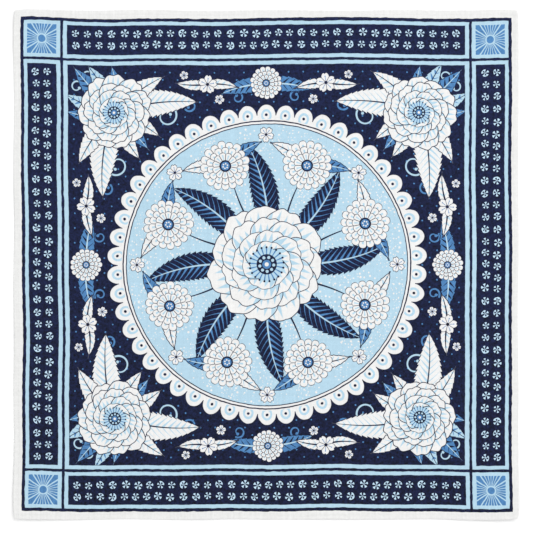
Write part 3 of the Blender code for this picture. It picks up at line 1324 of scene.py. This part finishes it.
def flecks(x, y, cell, smallest, largest, seed):
    """Dots of mixed size around the scattered points of a Voronoi pattern: distance below a radius."""
    place = vector(x + seed, y)
    tree = tree_of(place)
    node = tree.nodes.new("ShaderNodeTexVoronoi")
    node.voronoi_dimensions = "2D"
    node.inputs["Scale"].default_value = 1.0 / cell
    wire(tree, place, node.inputs["Vector"])
    size, chance, _ = channels_of(Field(node.outputs["Color"]))
    cluster, _, _ = soft_noise(x, y, FLECK_CLUSTER, FLECK_CLUSTER, seed=seed)
    radius = size * (largest - smallest) + smallest
    kept = compute("LESS_THAN", chance, cluster * 2.6 + 0.45)
    return below(Field(node.outputs["Distance"]) * cell - radius * kept) * kept


def ground_group():
    """Colour of the ground at a place in the panel."""
    given, finish_group = start_group("panel ground", {"Place": "Vector"}, {"Color": "Color"})
    x, y, _ = parts_of(given["Place"])
    dot_x = abs(compute("FRACT", (x + y) * (math.sqrt(0.5) / DOT_PITCH)) - 0.5) * DOT_PITCH
    dot_y = abs(compute("FRACT", (x - y) * (math.sqrt(0.5) / DOT_PITCH)) - 0.5) * DOT_PITCH
    radius = length_of(x, y)
    well_inside = below(most(abs(x) - PANEL[0], abs(y) - PANEL[1]), -3.0)
    colour = paint(NAVY, MIDDLE, below(length_of(dot_x, dot_y), DOT_RADIUS) * well_inside)

    aside = between_spokes(fold_angle(x, y), radius, SCALLOPS)
    tip = length_of(aside, (radius - SCALLOP_MIDDLE) * 0.85)
    scallop = least(tip - SCALLOP_RADIUS, radius - SCALLOP_MIDDLE)
    colour = paint(colour, WHITE, below(scallop))
    colour = paint(colour, LIGHT, below(tip, TONGUE_RADIUS) * below(SCALLOP_MIDDLE - 4.0 - radius))
    colour = paint(colour, WHITE, below(tip, TONGUE_WHITE))
    colour = paint(colour, NAVY, below(length_of(aside, radius - SCALLOP_MIDDLE - 0.5), TONGUE_DOT))
    colour = paint(colour, NAVY, below(abs(tip - SCALLOP_RADIUS), 0.45) * below(SCALLOP_MIDDLE - radius))
    colour = paint(colour, NAVY, below(abs(radius - DISC - 3.2), 0.7))

    colour = paint(colour, LIGHT, below(radius, DISC))
    colour = paint(colour, NAVY, below(abs(radius - DISC), 0.5))
    fleck = most(flecks(x, y, 5.2, 0.35, 1.25, 0.0), flecks(x, y, 3.4, 0.25, 0.75, 40.0))
    colour = paint(colour, WHITE, fleck * below(radius, DISC - 2.0))
    return finish_group(Color=colour)


panel_ground = ground_group()

# %% [markdown]
# ## Leaves
#
# A leaf is wide below its middle and has small teeth that point to its tip. Thick streaks leave the
# midrib on one half and thin ones on the other, as brush strokes do. Its kind picks the colours, and
# a halo in the colour of the ground keeps it apart from the leaf below it. A leaf could be a picture
# pasted on a card, but its edge would blur from close by.

# %% Group: one leaf
LEAF_TOOTH = 5.5
TOOTH_DEPTH = 0.14
VEIN_PITCH = 6.8
THICK_VEIN, THIN_VEIN = 1.7, 0.75


def by_kind(kind, colours):
    """The colour for each kind, counted from 1."""
    chosen = colours[0]
    for number, colour in enumerate(colours[1:], start=1):
        chosen = paint(chosen, colour, compute("GREATER_THAN", kind, number + 0.5))
    return chosen


def kind_and_size(code):
    """Split an attribute's third number: the kind in thousands, and the size in millimetres."""
    kind = compute("FLOOR", code * 0.001 + 0.0001)
    return kind, code - kind * 1000.0


def leaf_group():
    """Half width = 0.47 x length x share to 0.6 x (1 - share) to 0.9, cut back by its teeth."""
    given, finish_group = start_group("leaf", {"Under": "Color", "Place": "Vector"}, {"Color": "Color"})
    along, across, code = parts_of(given["Place"])
    kind, size = kind_and_size(code)
    present = compute("GREATER_THAN", size, 1.0)
    share = compute("DIVIDE", along, size, clamp=True)
    smooth_half = size * (share ** 0.6) * ((1.0 - share) ** 0.9) * 0.47
    half = smooth_half * (1.0 - compute("FRACT", along / LEAF_TOOTH) * TOOTH_DEPTH)
    from_edge = abs(across) - half
    inside = below(from_edge) * present

    vein_place = (along - abs(across) * 0.85 - across * across * 0.02) / VEIN_PITCH
    from_vein = abs(compute("FRACT", vein_place) - 0.5) * VEIN_PITCH
    rest = 1.0 - compute("DIVIDE", abs(across), smooth_half + 0.01, clamp=True)
    side = choose(compute("GREATER_THAN", across, 0.0), THICK_VEIN, THIN_VEIN)
    vein = below(from_vein - rest * side - 0.05) * below(from_edge, -0.9)
    rib = below(abs(across) - (1.0 - share) * 0.9, 0.25)

    colour = paint(given["Under"], by_kind(kind, (LIGHT, NAVY, NAVY, NAVY)), below(from_edge, 0.9) * present)
    colour = paint(colour, by_kind(kind, (NAVY, MIDDLE, LIGHT, WHITE)), inside)
    colour = paint(colour, by_kind(kind, (MIDDLE, NAVY, MIDDLE, LIGHT)), vein * inside)
    colour = paint(colour, by_kind(kind, (LIGHT, LIGHT, NAVY, NAVY)), rib * inside)
    return finish_group(Color=colour)


leaf = leaf_group()

# %% [markdown]
# ## Stems and curls
#
# A stem is a line that thins to its end. A curl is one turn of a spiral that winds inward to a bead,
# as vines are often drawn. Curve objects could carry both, but here they are print like the rest.

# %% Groups: one stem, and one curl
CURL_END = 0.42
CURL_HALF = 1.0
BEAD_RADIUS = 1.5


def stem_group():
    """A line that thins from 1.1 to 0.4 mm each side."""
    given, finish_group = start_group("stem", {"Under": "Color", "Place": "Vector"}, {"Color": "Color"})
    along, across, size = parts_of(given["Place"])
    share = compute("DIVIDE", along, size, clamp=True)
    line = most(abs(across) + share * 0.7 - 1.1, abs(along - size * 0.5) - size * 0.5)
    present = compute("GREATER_THAN", size, 1.0)
    return finish_group(Color=paint(given["Under"], NAVY, below(line) * present))


def curl_group():
    """Radius of the spiral = size x CURL_END to the power of the share of its turn. Its line thins from
    1.0 to 0.5 mm each side, its outer end is round, and a bead sits on its inner end."""
    given, finish_group = start_group("curl", {"Under": "Color", "Place": "Vector"}, {"Color": "Color"})
    x, y, code = parts_of(given["Place"])
    kind, size = kind_and_size(code)
    share = compute("FRACT", fold_angle(x, y) * (0.5 / math.pi))
    line = abs(length_of(x, y) - size * compute("POWER", CURL_END, share)) + share * 0.5 - CURL_HALF
    outer_end = length_of(x - size, y) - CURL_HALF
    bead = length_of(x - size * CURL_END, y) - BEAD_RADIUS
    present = compute("GREATER_THAN", size, 1.0)
    inside = below(least(line, least(outer_end, bead))) * present
    return finish_group(Color=paint(given["Under"], by_kind(kind, (LIGHT, MIDDLE)), inside))


stem = stem_group()
curl = curl_group()

# %% [markdown]
# ## A broad petal
#
# The large blossoms have broad, slightly waved petals with a notch at the tip and pale streaks that
# fade outward. One petal is a group of its own, because the blossom's tree uses it twelve times.

# %% Group: one broad petal


def petal_group():
    """A strip with an oval end: length of (up, over) against a rim that has small bumps and a notch."""
    given, finish_group = start_group(
        "broad petal",
        {"Radius": "Float", "Turn": "Float", "Length": "Float", "Width": "Float", "Dice": "Float"},
        {"Outside": "Float", "Streak": "Float"})
    along = given["Radius"] * compute("COSINE", given["Turn"])
    across = given["Radius"] * compute("SINE", given["Turn"])
    half_long = given["Length"] * 0.36
    half_wide = given["Width"] * 0.5
    up = most((along - given["Length"] + half_long) / half_long, 0.0)
    over = across / half_wide
    angle = fold_angle(up, over)
    bumps = compute("COSINE", angle * 7.0 + given["Dice"] * 20.0) * 0.03
    notch = compute("SUBTRACT", 1.0, abs(over + (given["Dice"] - 0.5) * 0.4) * 3.0, clamp=True) * 0.11
    outside = (length_of(up, over) - 1.0 + (notch - bumps) * up) * half_wide
    phase = over * 2.6 + given["Dice"] * 3.0
    length_dice, _, _ = dice(compute("FLOOR", phase), given["Dice"], 7.0)
    from_streak = abs(compute("FRACT", phase) - 0.5) * 2.0
    reach = (along / given["Length"] - 0.60) / (length_dice * 0.16 + 0.22)
    streak = below(from_streak + reach - 0.95, soft=0.2)
    return finish_group(Outside=outside, Streak=streak)


broad_petal = petal_group()

# %% [markdown]
# ## The large blossom
#
# It has four rings of broad petals, and each petal lies over the next one round the ring. So at each
# point three petals are drawn, the farthest first: the next one, the petal whose sector this is, and
# the one before. Laying all thirty-five petals at every point would look the same and cost about
# three times as much.

# %% Petals of the large blossom
PetalRing = namedtuple("PetalRing", "petals length width turn")
LARGE_RINGS = (
    PetalRing(11, 1.00, 1.42, 0.0),
    PetalRing(10, 0.80, 1.40, 0.4),
    PetalRing(8, 0.60, 1.38, 0.1),
    PetalRing(6, 0.41, 1.35, 0.6),
)
OUTLINE = 0.42


def own_number(size):
    """A whole number for the dice from a motif's size. Unrounded, its last digits change between faces."""
    return nearest_whole(size / SIZE_STEP)


def draw_petal(colour, radius, share, ring, step, size):
    """Lay one petal over the colour: step 1 is the next petal, 0 this sector's own, -1 the one before."""
    tree = tree_of(radius)
    number = compute("FLOOR", share) + step
    around_ring = compute("FLOORED_MODULO", number, float(ring.petals))
    length_dice, turn_dice, shape_dice = dice(around_ring, own_number(size), ring.length)
    sector = 2.0 * math.pi / ring.petals
    turn = (share - number - 0.5 + (turn_dice - 0.5) * 0.22) * sector
    length = size * (length_dice * 0.10 + 0.93) * ring.length
    petal = use_group(tree, broad_petal, Radius=radius, Turn=turn, Length=length,
                      Width=size * (ring.length * 0.82 * sector * ring.width), Dice=shape_dice)
    inside = below(petal["Outside"])
    colour = paint(colour, WHITE, inside)
    colour = paint(colour, LIGHT, inside * petal["Streak"])
    return paint(colour, NAVY, below(abs(petal["Outside"]), OUTLINE))


print("petals of a large blossom:", sum(ring.petals for ring in LARGE_RINGS))

# %% Group: large blossom
STAMENS = 21
SEEDS = 9
HEART = 0.17


def large_blossom_group():
    """Rings of overlapping petals, the longest first, and a heart of dots."""
    given, finish_group = start_group(
        "large blossom", {"Under": "Color", "Place": "Vector"}, {"Color": "Color"})
    x, y, size = parts_of(given["Place"])
    radius, angle = length_of(x, y), fold_angle(x, y)
    colour = given["Under"]
    for ring in LARGE_RINGS:
        share = angle * (ring.petals / (2.0 * math.pi)) + ring.turn
        for step in (1.0, 0.0, -1.0):
            colour = draw_petal(colour, radius, share, ring, step, size)
    colour = paint(colour, LIGHT, below(radius - size * 0.27))
    aside = between_spokes(angle, radius, STAMENS)
    colour = paint(colour, MIDDLE, below(abs(aside) - radius * 0.045) * below(radius - size * 0.28))
    colour = paint(colour, NAVY, below(length_of(aside, radius - size * 0.285) - size * 0.018))
    heart = size * HEART
    colour = paint(colour, NAVY, below(radius - heart))
    seed = length_of(between_spokes(angle, radius, SEEDS), radius - heart * 0.70)
    colour = paint(colour, LIGHT, below(seed - heart * 0.15))
    colour = paint(colour, MIDDLE, below(radius - heart * 0.44))
    colour = paint(colour, WHITE, below(radius - heart * 0.20))
    return finish_group(Color=colour)


large_blossom = large_blossom_group()

# %% [markdown]
# ## The middle blossom
#
# It has three rings of many narrow petals side by side. They don't overlap within a ring, so each is
# simply its sector of a disc with a rounded end, and one formula per ring draws them all.

# %% Group: middle blossom with narrow petals
NarrowRing = namedtuple("NarrowRing", "petals length turn")
NARROW_RINGS = (
    NarrowRing(17, 1.00, 0.0),
    NarrowRing(14, 0.76, 0.3),
    NarrowRing(11, 0.53, 0.7),
)
NARROW_OUTLINE = 0.33
MIDDLE_HEART = 0.24
MIDDLE_SEEDS = 6


def middle_blossom_group():
    """Petals side by side: each is its sector of the disc, cut by a rounded rim."""
    given, finish_group = start_group(
        "middle blossom", {"Under": "Color", "Place": "Vector"}, {"Color": "Color"})
    x, y, size = parts_of(given["Place"])
    radius, angle = length_of(x, y), fold_angle(x, y)
    colour = given["Under"]
    for ring in NARROW_RINGS:
        share = angle * (ring.petals / (2.0 * math.pi)) + ring.turn
        number = compute("FLOORED_MODULO", compute("FLOOR", share), float(ring.petals))
        length_dice, _, _ = dice(number, own_number(size), ring.length)
        offset = abs(compute("FRACT", share) - 0.5)
        sector = 2.0 * math.pi / ring.petals
        length = size * (length_dice * 0.08 + 0.95) * ring.length
        rim = length * (1.0 - offset * offset * offset * 1.1)
        outside = most((offset - 0.5) * radius * sector, radius - rim)
        colour = paint(colour, WHITE, below(outside))
        streak = below((offset - 0.13) * radius * sector) * below(radius - length * 0.84)
        colour = paint(colour, LIGHT, streak * below(outside))
        line = below(abs(outside), NARROW_OUTLINE) * below(radius - rim, NARROW_OUTLINE)
        colour = paint(colour, NAVY, line)
    heart = size * MIDDLE_HEART
    colour = paint(colour, NAVY, below(radius - heart))
    colour = paint(colour, MIDDLE, below(radius - heart * 0.72))
    seed = length_of(between_spokes(angle, radius, MIDDLE_SEEDS), radius - heart * 0.40)
    colour = paint(colour, WHITE, below(seed - heart * 0.13))
    return finish_group(Color=colour)


middle_blossom = middle_blossom_group()

# %% [markdown]
# ## The small blossom
#
# It has five petals with a notch in each, and a stamen on each petal. It is folded as a paper star is:
# the angle is reduced to half a petal, so the formula draws half a petal and gets ten of them.

# %% Group: small five-petal blossom
SMALL_PETALS = 5
SMALL_OUTLINE = 0.35


def small_blossom_group():
    """Rim = size x (1 - 1.5 x offset squared), with a notch in the middle of each petal."""
    given, finish_group = start_group(
        "small blossom", {"Under": "Color", "Place": "Vector"}, {"Color": "Color"})
    x, y, size = parts_of(given["Place"])
    radius, angle = length_of(x, y), fold_angle(x, y)
    sector = 2.0 * math.pi / SMALL_PETALS
    offset = abs(compute("FRACT", angle * (1.0 / sector)) - 0.5)
    notch = compute("SUBTRACT", 1.0, offset * 9.0, clamp=True) * 0.14
    outside = radius - size * (1.0 - offset * offset * 1.5 - notch)
    aside = offset * radius * sector
    colour = paint(given["Under"], WHITE, below(outside))
    stamen = below(aside, 0.3) * below(radius - size * 0.62)
    tip = below(length_of(aside, radius - size * 0.62) - size * 0.06)
    colour = paint(colour, MIDDLE, most(stamen, tip) * below(size * 0.2 - radius))
    colour = paint(colour, NAVY, below(abs(outside), SMALL_OUTLINE))
    colour = paint(colour, NAVY, below((0.5 - offset) * radius * sector, 0.28) * below(outside))
    colour = paint(colour, NAVY, below(radius - size * 0.17))
    return finish_group(Color=colour)


small_blossom = small_blossom_group()

# %% [markdown]
# ## The panel's print in layers
#
# The layers are laid one over the other, as screens are: the ground, stems and curls, the lower
# leaves, the upper leaves, and the blossoms last. There are two such prints, because a large blossom
# takes many more nodes than the small ones, and most of the panel can do without it.

# %% Group: all layers of the panel
LARGE_FROM, MIDDLE_FROM = 35.0, 16.0


def motif_place(tree, name):
    """The attribute that holds each face's place inside its motif."""
    node = tree.nodes.new("ShaderNodeAttribute")
    node.attribute_name = name
    return Field(node.outputs["Vector"])


def panel_group(name, blossoms):
    """Colour of the panel's print. Each kind of blossom comes with the size from which it is drawn."""
    given, finish_group = start_group(name, {"Place": "Vector"}, {"Color": "Color"})
    tree = tree_of(given["Place"])
    colour = use_group(tree, panel_ground, Place=given["Place"])["Color"]
    colour = use_group(tree, stem, Under=colour, Place=motif_place(tree, "stem_place"))["Color"]
    colour = use_group(tree, curl, Under=colour, Place=motif_place(tree, "curl_place"))["Color"]
    colour = use_group(tree, leaf, Under=colour, Place=motif_place(tree, "low_leaf_place"))["Color"]
    colour = use_group(tree, leaf, Under=colour, Place=motif_place(tree, "high_leaf_place"))["Color"]
    place = motif_place(tree, "blossom_place")
    _, _, size = parts_of(place)
    below_blossoms = colour
    for least_size, blossom in blossoms:
        drawn = use_group(tree, blossom, Under=below_blossoms, Place=place)["Color"]
        colour = paint(colour, drawn, compute("GREATER_THAN", size, least_size))
    return finish_group(Color=colour)


panel_print = panel_group("panel print", ((1.0, small_blossom), (MIDDLE_FROM, middle_blossom)))
large_print = panel_group("panel print with a large blossom", ((LARGE_FROM, large_blossom),))

# %% [markdown]
# ## Cotton
#
# Under the ink is plain-weave cotton. Its threads are spun unevenly, so bundles of thick or thin ones
# show as faint streaks in both directions, more of them up the cloth than across. The ink takes up
# unevenly too: the darker it is the more mottled it looks, and the navy is a little lighter towards
# the top. Closer up, threads go over and under each other every half millimetre, and the shade
# between them is painted in: their crests are a little lighter and the gaps darker. One group gives
# all of this to the front and to the back.

# %% Group: weave, slubs and mottled ink
THREAD = 0.45
THREAD_SHADE = 0.012
STREAK_UP, STREAK_ACROSS = 0.18, 0.13
STREAK_LENGTH = 80.0
MOTTLE_SIZE = 3.0
INK_MOTTLE, CLOTH_MOTTLE = 2.9, 0.15
NAVY_LIGHTER_UPWARD = 0.0008
THREAD_RELIEF, STREAK_RELIEF = 0.02, 0.25


def weave_group():
    """Tint around 1 for the colour, and height in millimetres for the relief of the threads."""
    given, finish_group = start_group(
        "cotton weave", {"Place": "Vector", "Ink": "Float"}, {"Tint": "Float", "Height": "Float"})
    x, y, _ = parts_of(given["Place"])
    upward, _, _ = soft_noise(x, y, 2.2, STREAK_LENGTH, detail=2.0, rough=0.7, seed=1.3)
    crossing, _, _ = soft_noise(x, y, STREAK_LENGTH, 3.0, detail=2.0, rough=0.7, seed=6.4)
    mottle, _, _ = soft_noise(x, y, MOTTLE_SIZE, MOTTLE_SIZE, detail=1.0, rough=1.0, seed=2.2)
    streak = upward * STREAK_UP + crossing * STREAK_ACROSS
    soaked = given["Ink"] ** 8.0
    turn = 2.0 * math.pi / THREAD
    over = compute("SINE", x * (0.5 * turn)) * compute("SINE", y * (0.5 * turn))
    threads = abs(compute("SINE", x * (0.5 * turn))) + abs(compute("SINE", y * (0.5 * turn)))
    height = threads * THREAD_RELIEF + over * THREAD_RELIEF + streak * STREAK_RELIEF
    ink_tint = mottle * (soaked * INK_MOTTLE + CLOTH_MOTTLE)
    # Painted shade of the weave: the threads' crests come out lighter and the gaps between them darker. The
    # navy also comes out lighter towards the top.
    tint = 1.0 + streak + threads * THREAD_SHADE + ink_tint + soaked * y * NAVY_LIGHTER_UPWARD
    return finish_group(Tint=tint, Height=height)


weave = weave_group()

# %% [markdown]
# ## The cotton materials
#
# The face carries the print at full strength. On the back it shows through paler, because screen
# ink stays near the face that it was printed on. A mix with white would turn navy into grey there.
# Thin ink keeps its hue, so its colour is worked out as light that passes through less of it. Both
# sides are the same rough, slightly fuzzy cotton.

# %% Ink of less strength
SHOW_THROUGH = 0.5


def luminance(colour):
    """Brightness of a colour."""
    tree = tree_of(colour)
    node = tree.nodes.new("ShaderNodeRGBToBW")
    wire(tree, colour, node.inputs[0])
    return Field(node.outputs[0])


def thinned(colour, strength):
    """Ink of less strength: white x (colour / white) to the power strength, in each channel."""
    tree = tree_of(colour)
    passed = paint(colour, WHITE, 1.0, blend="DIVIDE")
    node = tree.nodes.new("ShaderNodeGamma")
    node.inputs["Gamma"].default_value = strength
    wire(tree, passed, node.inputs["Color"])
    return paint(Field(node.outputs["Color"]), WHITE, 1.0, blend="MULTIPLY")


passed_navy = [w * (n / w) ** SHOW_THROUGH for n, w in zip(NAVY[:3], WHITE[:3])]
print("navy as it shows on the back, linear:", np.round(passed_navy, 3))

# %% [markdown]
# ## Four fields of the cloth
#
# Each point of a surface pays for every node of its material, also for those whose mark doesn't show
# there. One material for the whole print would work, but it would render two to three times slower.
# So the cloth is divided by its faces into four fields, and the material of each holds only the parts
# of the print that can show in it. All read the same groups, so nothing shows where they meet.

# %% Parts of the print in each field
Print = namedtuple("Print", "name border panel")
PRINTS = (
    Print("border", border_print, None),
    Print("panel edge", border_print, panel_print),
    Print("panel", None, panel_print),
    Print("large blossoms", None, large_print),
)


def print_colour(tree, parts, place):
    """The border's colour, the panel's, or the panel's inside the border's, by what the field holds."""
    drawn = use_group(tree, hand_drawn, Place=place)
    if parts.border is None:
        return use_group(tree, parts.panel, Place=drawn["Place"])["Color"]
    border = use_group(tree, parts.border, Place=drawn["Place"], Weight=drawn["Weight"])
    if parts.panel is None:
        return border["Color"]
    panel = use_group(tree, parts.panel, Place=drawn["Place"])
    return paint(border["Color"], panel["Color"], border["Panel"])


print("fields:", ", ".join(parts.name for parts in PRINTS))

# %% Materials of the fields, on the face and on the back
COTTON_ROUGHNESS = 0.92
COTTON_SPECULAR = 0.25
COTTON_SHEEN = 0.05


def printed_cotton(name, parts, strength):
    """Cotton with these parts of the print, its ink thinned where strength is below 1."""
    material = bpy.data.materials.new(name)
    material.use_nodes = True
    tree = material.node_tree
    shader = tree.nodes["Principled BSDF"]
    shader.inputs["Roughness"].default_value = COTTON_ROUGHNESS
    shader.inputs["Specular IOR Level"].default_value = COTTON_SPECULAR
    shader.inputs["Sheen Weight"].default_value = COTTON_SHEEN
    shader.inputs["Sheen Roughness"].default_value = 0.5

    flat = tree.nodes.new("ShaderNodeUVMap")
    flat.uv_map = "printed_place"
    u, v, _ = parts_of(Field(flat.outputs["UV"]))
    place = vector((u - 0.5) * (1000.0 * WIDTH), (v - 0.5) * (1000.0 * LENGTH))
    colour = print_colour(tree, parts, place)
    if strength < 1.0:
        colour = thinned(colour, strength)
    cotton = use_group(tree, weave, Place=place, Ink=1.0 - luminance(colour))
    shade = paint(colour, grey(cotton["Tint"]), 1.0, blend="MULTIPLY")
    wire(tree, shade, shader.inputs["Base Color"])

    bump = tree.nodes.new("ShaderNodeBump")
    bump.inputs["Strength"].default_value = 0.5
    bump.inputs["Distance"].default_value = 0.001
    wire(tree, cotton["Height"], bump.inputs["Height"])
    wire(tree, Field(bump.outputs[0]), shader.inputs["Normal"])
    arrange(tree)
    print("material", name, "has", len(tree.nodes), "nodes")
    return material


for side, strength in (("face", 1.0), ("back", SHOW_THROUGH)):
    for parts in PRINTS:
        cloth_mesh.materials.append(printed_cotton(f"cotton {side}, {parts.name}", parts, strength))

# %% [markdown]
# ## The field of each face
#
# The middle of a face tells its field: outside the panel's edge, near it, inside a large blossom, or
# in the rest of the panel. The near strip is wide enough for the line's trembling and for the size of
# a face. One array of numbers then gives every face its material, where picking faces in edit mode
# would take hours.

# %% The field that each face of the mesh lies in
EDGE_REACH = 3.6
BORDER_FIELD, EDGE_FIELD, PANEL_FIELD, BLOSSOM_FIELD = range(4)

past_edge = np.maximum(abs(middle_x) - PANEL[0], abs(middle_y) - PANEL[1])
in_large_blossom = blossom_values[:, 0, 2] > LARGE_FROM
field_of_face = np.select(
    (past_edge > EDGE_REACH, past_edge > -EDGE_REACH, in_large_blossom),
    (BORDER_FIELD, EDGE_FIELD, BLOSSOM_FIELD), PANEL_FIELD)
field_of_face[len(top_quads):] += len(PRINTS)
cloth_mesh.polygons.foreach_set("material_index", field_of_face.astype(np.int32))
print("faces in each field:", np.bincount(field_of_face))

# %% [markdown]
# ## Sewing thread
#
# Sewing thread is two plies of cotton twisted round each other, smoother than the cloth and as white.
# The twist is a sine that climbs round the thread, read from a map that counts millimetres along it
# and turns round it.

# %% Map and material of the stitches
PLY_LENGTH = 0.55
PLIES = 2.0
PLY_SHADE = ink(214, 215, 214)
PLY_RELIEF = 0.00003


def thread_map():
    """Millimetres along the stitch and share of a turn round it, for each corner of each face."""
    ring, side = np.divmod(stitch_faces % ((STITCH_STEPS + 1) * STITCH_SIDES), STITCH_SIDES)
    sides = slice(0, len(threads) * STITCH_STEPS * STITCH_SIDES)
    turn = side / STITCH_SIDES
    turn[sides] += (side[sides] == 0) & (side[sides].max(1) == STITCH_SIDES - 1)[:, None]
    return np.stack((ring * (1000.0 * STITCH_LENGTH / STITCH_STEPS), turn), -1)


def sewing_thread(name):
    """White cotton thread: height = sine of the climb along and round it; grooves painted in shade."""
    material = bpy.data.materials.new(name)
    material.use_nodes = True
    tree = material.node_tree
    shader = tree.nodes["Principled BSDF"]
    shader.inputs["Roughness"].default_value = 0.75
    shader.inputs["Specular IOR Level"].default_value = 0.3
    shader.inputs["Sheen Weight"].default_value = 0.1
    round_thread = tree.nodes.new("ShaderNodeUVMap")
    round_thread.uv_map = "along_thread"
    along, turn, _ = parts_of(Field(round_thread.outputs["UV"]))
    climb = compute("SINE", (along * (1.0 / PLY_LENGTH) + turn * PLIES) * (2.0 * math.pi))
    # Painted shade: the grooves between the plies, where the climb is low, are darkened to PLY_SHADE
    wire(tree, paint(WHITE, PLY_SHADE, climb * -0.5 + 0.5), shader.inputs["Base Color"])
    bump = tree.nodes.new("ShaderNodeBump")
    bump.inputs["Strength"].default_value = 0.6
    bump.inputs["Distance"].default_value = PLY_RELIEF
    wire(tree, climb, bump.inputs["Height"])
    wire(tree, Field(bump.outputs[0]), shader.inputs["Normal"])
    arrange(tree)
    return material


along_thread = thread_map()
layer = stitch_mesh.uv_layers.new(name="along_thread")
layer.uv.foreach_set("vector", along_thread.astype(np.float32).ravel())
stitch_mesh.materials.append(sewing_thread("white sewing thread"))
print("map along_thread spans", along_thread.min((0, 1)), "to", np.round(along_thread.max((0, 1)), 2))

# %% [markdown]
# ## Floor and light
#
# The picture has no shadow but a faint one under the lifted corners, and its ground is white. The
# cloth is a little brighter towards its upper right corner. A pale floor, a bright even sky and one
# very large soft lamp, high above that corner, give all of it. The nearer the lamp, the more its
# light falls off across the cloth, so its height sets how much brighter that corner is.

# %% Floor
FLOOR_SIZE = 8.0
FLOOR_GAP = 0.0003
FLOOR_COLOUR = (0.96, 0.96, 0.96, 1.0)


def pale_floor(size):
    """One large flat quad just below the cloth."""
    corners = 0.5 * size * np.array(((-1, -1), (1, -1), (1, 1), (-1, 1)))
    places = np.column_stack((corners, np.full(4, -FLOOR_GAP)))
    floor = bpy.data.objects.new("floor", mesh_from_quads("floor", places, np.arange(4)[None]))
    material = bpy.data.materials.new("pale floor")
    material.use_nodes = True
    shader = material.node_tree.nodes["Principled BSDF"]
    shader.inputs["Base Color"].default_value = FLOOR_COLOUR
    shader.inputs["Roughness"].default_value = 0.9
    floor.data.materials.append(material)
    scene.collection.objects.link(floor)
    return floor


floor = pale_floor(FLOOR_SIZE)
print("floor is", FLOOR_SIZE, "m wide and", 1000 * FLOOR_GAP, "mm below the cloth")

# %% Sky and lamp
SKY = 0.90
LAMP_POWER = 34.5
LAMP_PLACE = (1.0, 1.0, 2.6)
LAMP_SIZE = 2.0


def soft_lamp(name, place, size, power):
    """A square lamp that looks at the middle of the cloth."""
    data = bpy.data.lights.new(name, "AREA")
    data.size = size
    data.energy = power
    lamp = bpy.data.objects.new(name, data)
    lamp.location = place
    lamp.rotation_euler = (-Vector(place)).to_track_quat("-Z", "Y").to_euler()
    scene.collection.objects.link(lamp)
    return lamp


def even_sky(name, strength):
    """The same white light from all directions."""
    world = bpy.data.worlds.new(name)
    world.use_nodes = True
    background = world.node_tree.nodes["Background"]
    background.inputs["Color"].default_value = (1.0, 1.0, 1.0, 1.0)
    background.inputs["Strength"].default_value = strength
    return world


lamp = soft_lamp("soft lamp", LAMP_PLACE, LAMP_SIZE, LAMP_POWER)
scene.world = even_sky("even sky", SKY)
scene.view_settings.view_transform = "Standard"
print("lamp stands", round(lamp.location.length, 2), "m from the middle of the cloth")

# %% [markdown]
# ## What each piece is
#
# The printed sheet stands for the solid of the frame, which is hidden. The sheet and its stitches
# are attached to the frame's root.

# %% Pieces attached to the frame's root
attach(cloth, "root")
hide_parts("cloth")
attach(stitches, "root")
